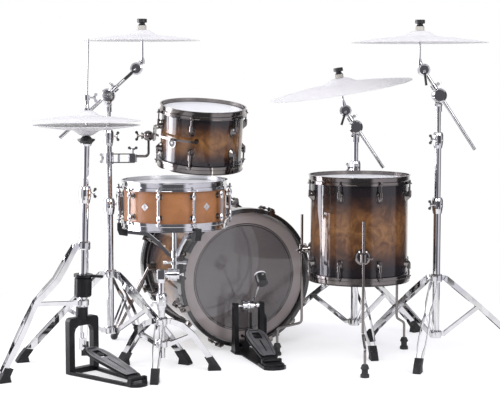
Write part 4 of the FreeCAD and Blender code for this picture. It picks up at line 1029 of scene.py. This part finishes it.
@dataclass
class HiHat:
    """Hi-hat stand with pedal and two cymbals."""

    lean: float = math.radians(1.9)
    cup: float = 0.031

    def build(self) -> None:
        """Dresses the stand, its pedal and its cymbals."""
        dress(CHROME, "hihat_base", "hihat_clutch", "hihat_pull_rod")
        low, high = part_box("hihat_upper_tube")
        axis = Vector((math.sin(self.lean), 0.0, math.cos(self.lean)))
        cup = Trim(Vector((high.x - self.cup, (low.y + high.y) / 2, high.z)), axis, -0.028, 0.01, 0.034)
        dress(CHROME.trimmed("Bright chrome, black cup", cup), "hihat_upper_tube")
        dress(PaintedSteel(), "hihat_frame", "hihat_footboard")
        Tread("hihat_tread", "hihat_footboard", "hihat_board", "hihat_footboard_hinge", math.radians(14.0),
              0.299).build()
        for half in ("top", "bottom"):
            node = "hihat_%s_cymbal" % half
            dress(PaleCymbal("Pale cymbal, hi-hat " + half, middle(node)), node)


@dataclass
class BassPedal:
    """Single bass drum pedal."""

    heading: float = math.radians(107.5)
    lean: float = math.radians(45.0)

    def build(self) -> None:
        """Dresses the pedal, with the white of its beater on the end that points up and towards the drum."""
        dress(PaintedSteel("Black painted steel, bass pedal"), "bass_pedal_frame", "bass_pedal_footboard")
        Tread("bass_tread", "bass_pedal_footboard", "bass_board", "bass_footboard_hinge", math.radians(17.0),
              0.262).build()
        dress(CHROME, "bass_pedal_beater")
        face = Vector((math.cos(self.lean) * math.cos(self.heading),
                       math.cos(self.lean) * math.sin(self.heading), math.sin(self.lean)))
        dress(TwoToneBeater("Two-tone beater", middle("bass_beater_head"), face), "bass_beater_head")


@dataclass
class CymbalStand:
    """One boom stand with its cymbal.

    The reach goes from the boom's pivot to the middle of the cymbal tilter, and the bell is the height of the
    cymbal's crown over the point that its joint is given at.
    """

    side: str
    reach: Vector
    handle: Vector
    bell: float
    felt: float = 0.0153

    def build(self) -> None:
        """Dresses the stand and its cymbal."""
        joint = joint_of(self.side + "_cymbal_spin")
        at, up = Vector(joint["pos_m"]), Vector(joint["axis"])
        felt = Trim(at, up, self.bell + 0.0002, self.bell + self.felt, 0.0175,
                    (0.50, 0.48, 0.43), (0.33, 0.31, 0.28), 0.9)
        nut = Trim(at, up, self.bell + self.felt, self.bell + 0.042, 0.0200)
        cone = Trim(at, up, self.bell - 0.0245, self.bell - 0.0018, 0.0165)
        tip = Vector(joint_of(self.side + "_boom_tilt")["pos_m"]) + self.reach
        grip = Trim(tip + Vector((0.0, -0.017, 0.0)), self.handle, 0.010, 0.070, 0.006)
        boom = CHROME.trimmed("Bright chrome, %s boom" % self.side, felt, nut, cone, grip)
        dress(boom, self.side + "_boom")
        dress(CHROME, self.side + "_stand_base", self.side + "_stand_tube")
        node = self.side + "_cymbal"
        dress(PaleCymbal("Pale cymbal, " + self.side, at), node)


# ---------------------------------------------------------------- studio


@dataclass
class Studio:
    """Plain pale floor, soft surroundings and the camera."""

    lens: float = 99.1
    eye: tuple[float, float, float] = (-0.053, -5.0921, 1.0858)
    pitch: float = math.radians(5.606)
    floor_radius: float = 1.9

    @staticmethod
    def grey(value: float) -> Colour:
        """Returns a slightly cool grey."""
        return value, value * 0.985, value * 1.09

    @staticmethod
    def seen(tree: Tree) -> tuple[Socket, Socket]:
        """Returns 1 for camera and transmission rays, and 1 for glossy rays."""
        path = tree.add("LightPath")
        plain = tree.math("MAXIMUM", path.outputs["Is Camera Ray"], path.outputs["Is Transmission Ray"])
        return plain, path.outputs["Is Glossy Ray"]

    def surroundings(self) -> None:
        """Makes the world: a white backdrop, dark flags at its sides and a dim room in front."""
        world = bpy.data.worlds.new("Studio")
        bpy.context.scene.world = world
        world.use_nodes = True
        tree = Tree(world.node_tree)
        world.node_tree.nodes.clear()
        way = tree.add("SeparateXYZ", Vector=tree.add("TexCoord").outputs["Generated"])
        turn = tree.math("ARCTAN2", way.outputs["X"], tree.math("MULTIPLY", way.outputs["Y"], -1.0))
        place = tree.math("ADD", tree.math("DIVIDE", turn, math.tau), 0.5)
        grey = self.grey
        walls = tree.ramp(place, [
            (0.0, grey(1.0)), (0.080, grey(1.0)), (0.100, grey(0.08)), (0.164, grey(0.08)),
            (0.170, grey(1.0)), (0.283, grey(1.0)), (0.295, grey(0.12)), (0.328, grey(0.16)),
            (0.342, grey(0.85)), (0.410, grey(0.80)), (0.440, grey(0.12)), (0.560, grey(0.12)),
            (0.582, grey(0.90)), (0.744, grey(0.75)), (0.760, grey(0.07)), (0.895, grey(0.09)),
            (0.915, grey(1.0)), (1.0, grey(1.0))])
        above = tree.band(way.outputs["Z"], 0.35, 0.60)
        plain, glossy = self.seen(tree)
        ceiling = tree.mix(tree.band(way.outputs["Y"], -0.35, 0.25), grey(0.16), grey(0.60))
        room = tree.mix(above, walls, tree.mix(glossy, grey(1.0), ceiling))
        behind = tree.math("GREATER_THAN", way.outputs["Y"], 0.72)
        backdrop = tree.add("Background", Color=(1.0, 1.0, 1.0), Strength=1.0)
        strip = tree.math("MULTIPLY", tree.band(place, 0.166, 0.174), tree.band(place, 0.285, 0.279))
        shine = tree.math("MULTIPLY", tree.math("MULTIPLY", strip, glossy), tree.math("SUBTRACT", 1.0, above))
        light = tree.add("Background", Color=room,
                         Strength=tree.math("ADD", 1.0, tree.math("MULTIPLY", shine, 5.0)))
        both = tree.add("MixShader", Fac=tree.math("MAXIMUM", plain, tree.math("MULTIPLY", glossy, behind)))
        tree.feed(both.inputs[1], light.outputs[0])
        tree.feed(both.inputs[2], backdrop.outputs[0])
        out = tree.add("OutputWorld")
        tree.feed(out.inputs["Surface"], both.outputs[0])

    def floor(self) -> None:
        """Makes the pale floor, which keeps the object's shadow and fades to the white backdrop."""
        bpy.ops.object.select_all(action="DESELECT")
        bpy.ops.mesh.primitive_circle_add(vertices=96, radius=self.floor_radius, fill_type="NGON",
                                          location=(0.0, 0.0, -0.0004))
        floor = bpy.context.object
        floor.name = "studio_floor"
        material = bpy.data.materials.new("Pale floor")
        material.use_nodes = True
        tree = Tree(material.node_tree)
        material.node_tree.nodes.clear()
        near = tree.add("AddShader")
        tree.feed(near.inputs[0], tree.add("BsdfDiffuse", Color=(0.60, 0.60, 0.60)).outputs[0])
        tree.feed(near.inputs[1], tree.add("Emission", Color=(1.0, 1.0, 1.0), Strength=0.47).outputs[0])
        place = tree.vector("MULTIPLY", tree.add("NewGeometry").outputs["Position"], (1.0, 0.8, 0.0))
        visible = tree.add("MixShader", Fac=tree.band(tree.vector("LENGTH", place), 0.9, 1.75))
        tree.feed(visible.inputs[1], near.outputs[0])
        tree.feed(visible.inputs[2], tree.add("Emission", Color=(1.0, 1.0, 1.0), Strength=1.0).outputs[0])
        plain, glossy = self.seen(tree)
        both = tree.add("MixShader", Fac=tree.math("MAXIMUM", plain, glossy))
        tree.feed(both.inputs[1], tree.add("BsdfDiffuse", Color=(0.72, 0.72, 0.72)).outputs[0])
        tree.feed(both.inputs[2], visible.outputs[0])
        out = tree.add("OutputMaterial")
        tree.feed(out.inputs["Surface"], both.outputs[0])
        floor.data.materials.append(material)

    def lamp(self, name: str, place: Vector, aim: Vector, size: tuple[float, float], power: float) -> None:
        """Adds one soft rectangular lamp.

        Args:
            name: Name of the lamp.
            place: Where it stands.
            aim: What it points at.
            size: Width and height.
            power: Power in watts.
        """
        data = bpy.data.lights.new(name, "AREA")
        data.shape = "RECTANGLE"
        data.size, data.size_y = size
        data.energy = power
        lamp = bpy.data.objects.new(name, data)
        lamp.location = place
        lamp.rotation_euler = (place - aim).to_track_quat("Z", "Y").to_euler()
        bpy.context.scene.collection.objects.link(lamp)

    def camera(self) -> None:
        """Makes the camera."""
        data = bpy.data.cameras.new("Camera")
        data.lens = self.lens
        data.sensor_width = 36.0
        data.clip_end = 200.0
        camera = bpy.data.objects.new("Camera", data)
        camera.location = self.eye
        camera.rotation_euler = (math.radians(90) - self.pitch, 0.0, 0.0)
        bpy.context.scene.collection.objects.link(camera)
        bpy.context.scene.camera = camera

    def build(self) -> None:
        """Sets up the studio."""
        bpy.context.scene.view_settings.view_transform = "Standard"
        self.camera()
        self.surroundings()
        self.floor()
        kit = Vector((0.0, 0.0, 0.6))
        self.lamp("Left strip", Vector((-3.3, 0.4, 1.0)), kit, (0.9, 2.2), 45.0)
        self.lamp("Key", Vector((-1.6, -4.2, 3.4)), kit, (2.2, 2.2), 110.0)
        self.lamp("Fill", Vector((2.8, -3.2, 2.8)), kit, (1.8, 1.8), 60.0)


def rack_axis() -> Vector:
    """Returns the rack tom's axis, leaning towards the drummer."""
    lean, roll = math.radians(8.0), math.radians(3.6)
    return Vector((math.sin(roll), -math.sin(lean), math.cos(lean))).normalized()


def main() -> None:
    kit = [BassDrum(), FloorTom("floor_tom", UPRIGHT, 0.182, 0.1805),
           RackTom("rack_tom", rack_axis(), 0.1015, 0.1524), SnareDrum(), HiHat(), BassPedal(),
           CymbalStand("left", Vector((0.109, -0.022, 0.101)), Vector((-1.0, 0.0, -0.9)), 0.0202),
           CymbalStand("middle", Vector((-0.041, -0.022, 0.064)), Vector((-0.3, 0.0, -1.0)), 0.0217),
           CymbalStand("right", Vector((-0.060, -0.022, 0.095)), Vector((0.14, 0.0, -1.0)), 0.0211)]
    Studio().build()
    for part in kit:
        part.build()
        LOG.info("finished %s", type(part).__name__)


if __name__ == "__main__":
    main()
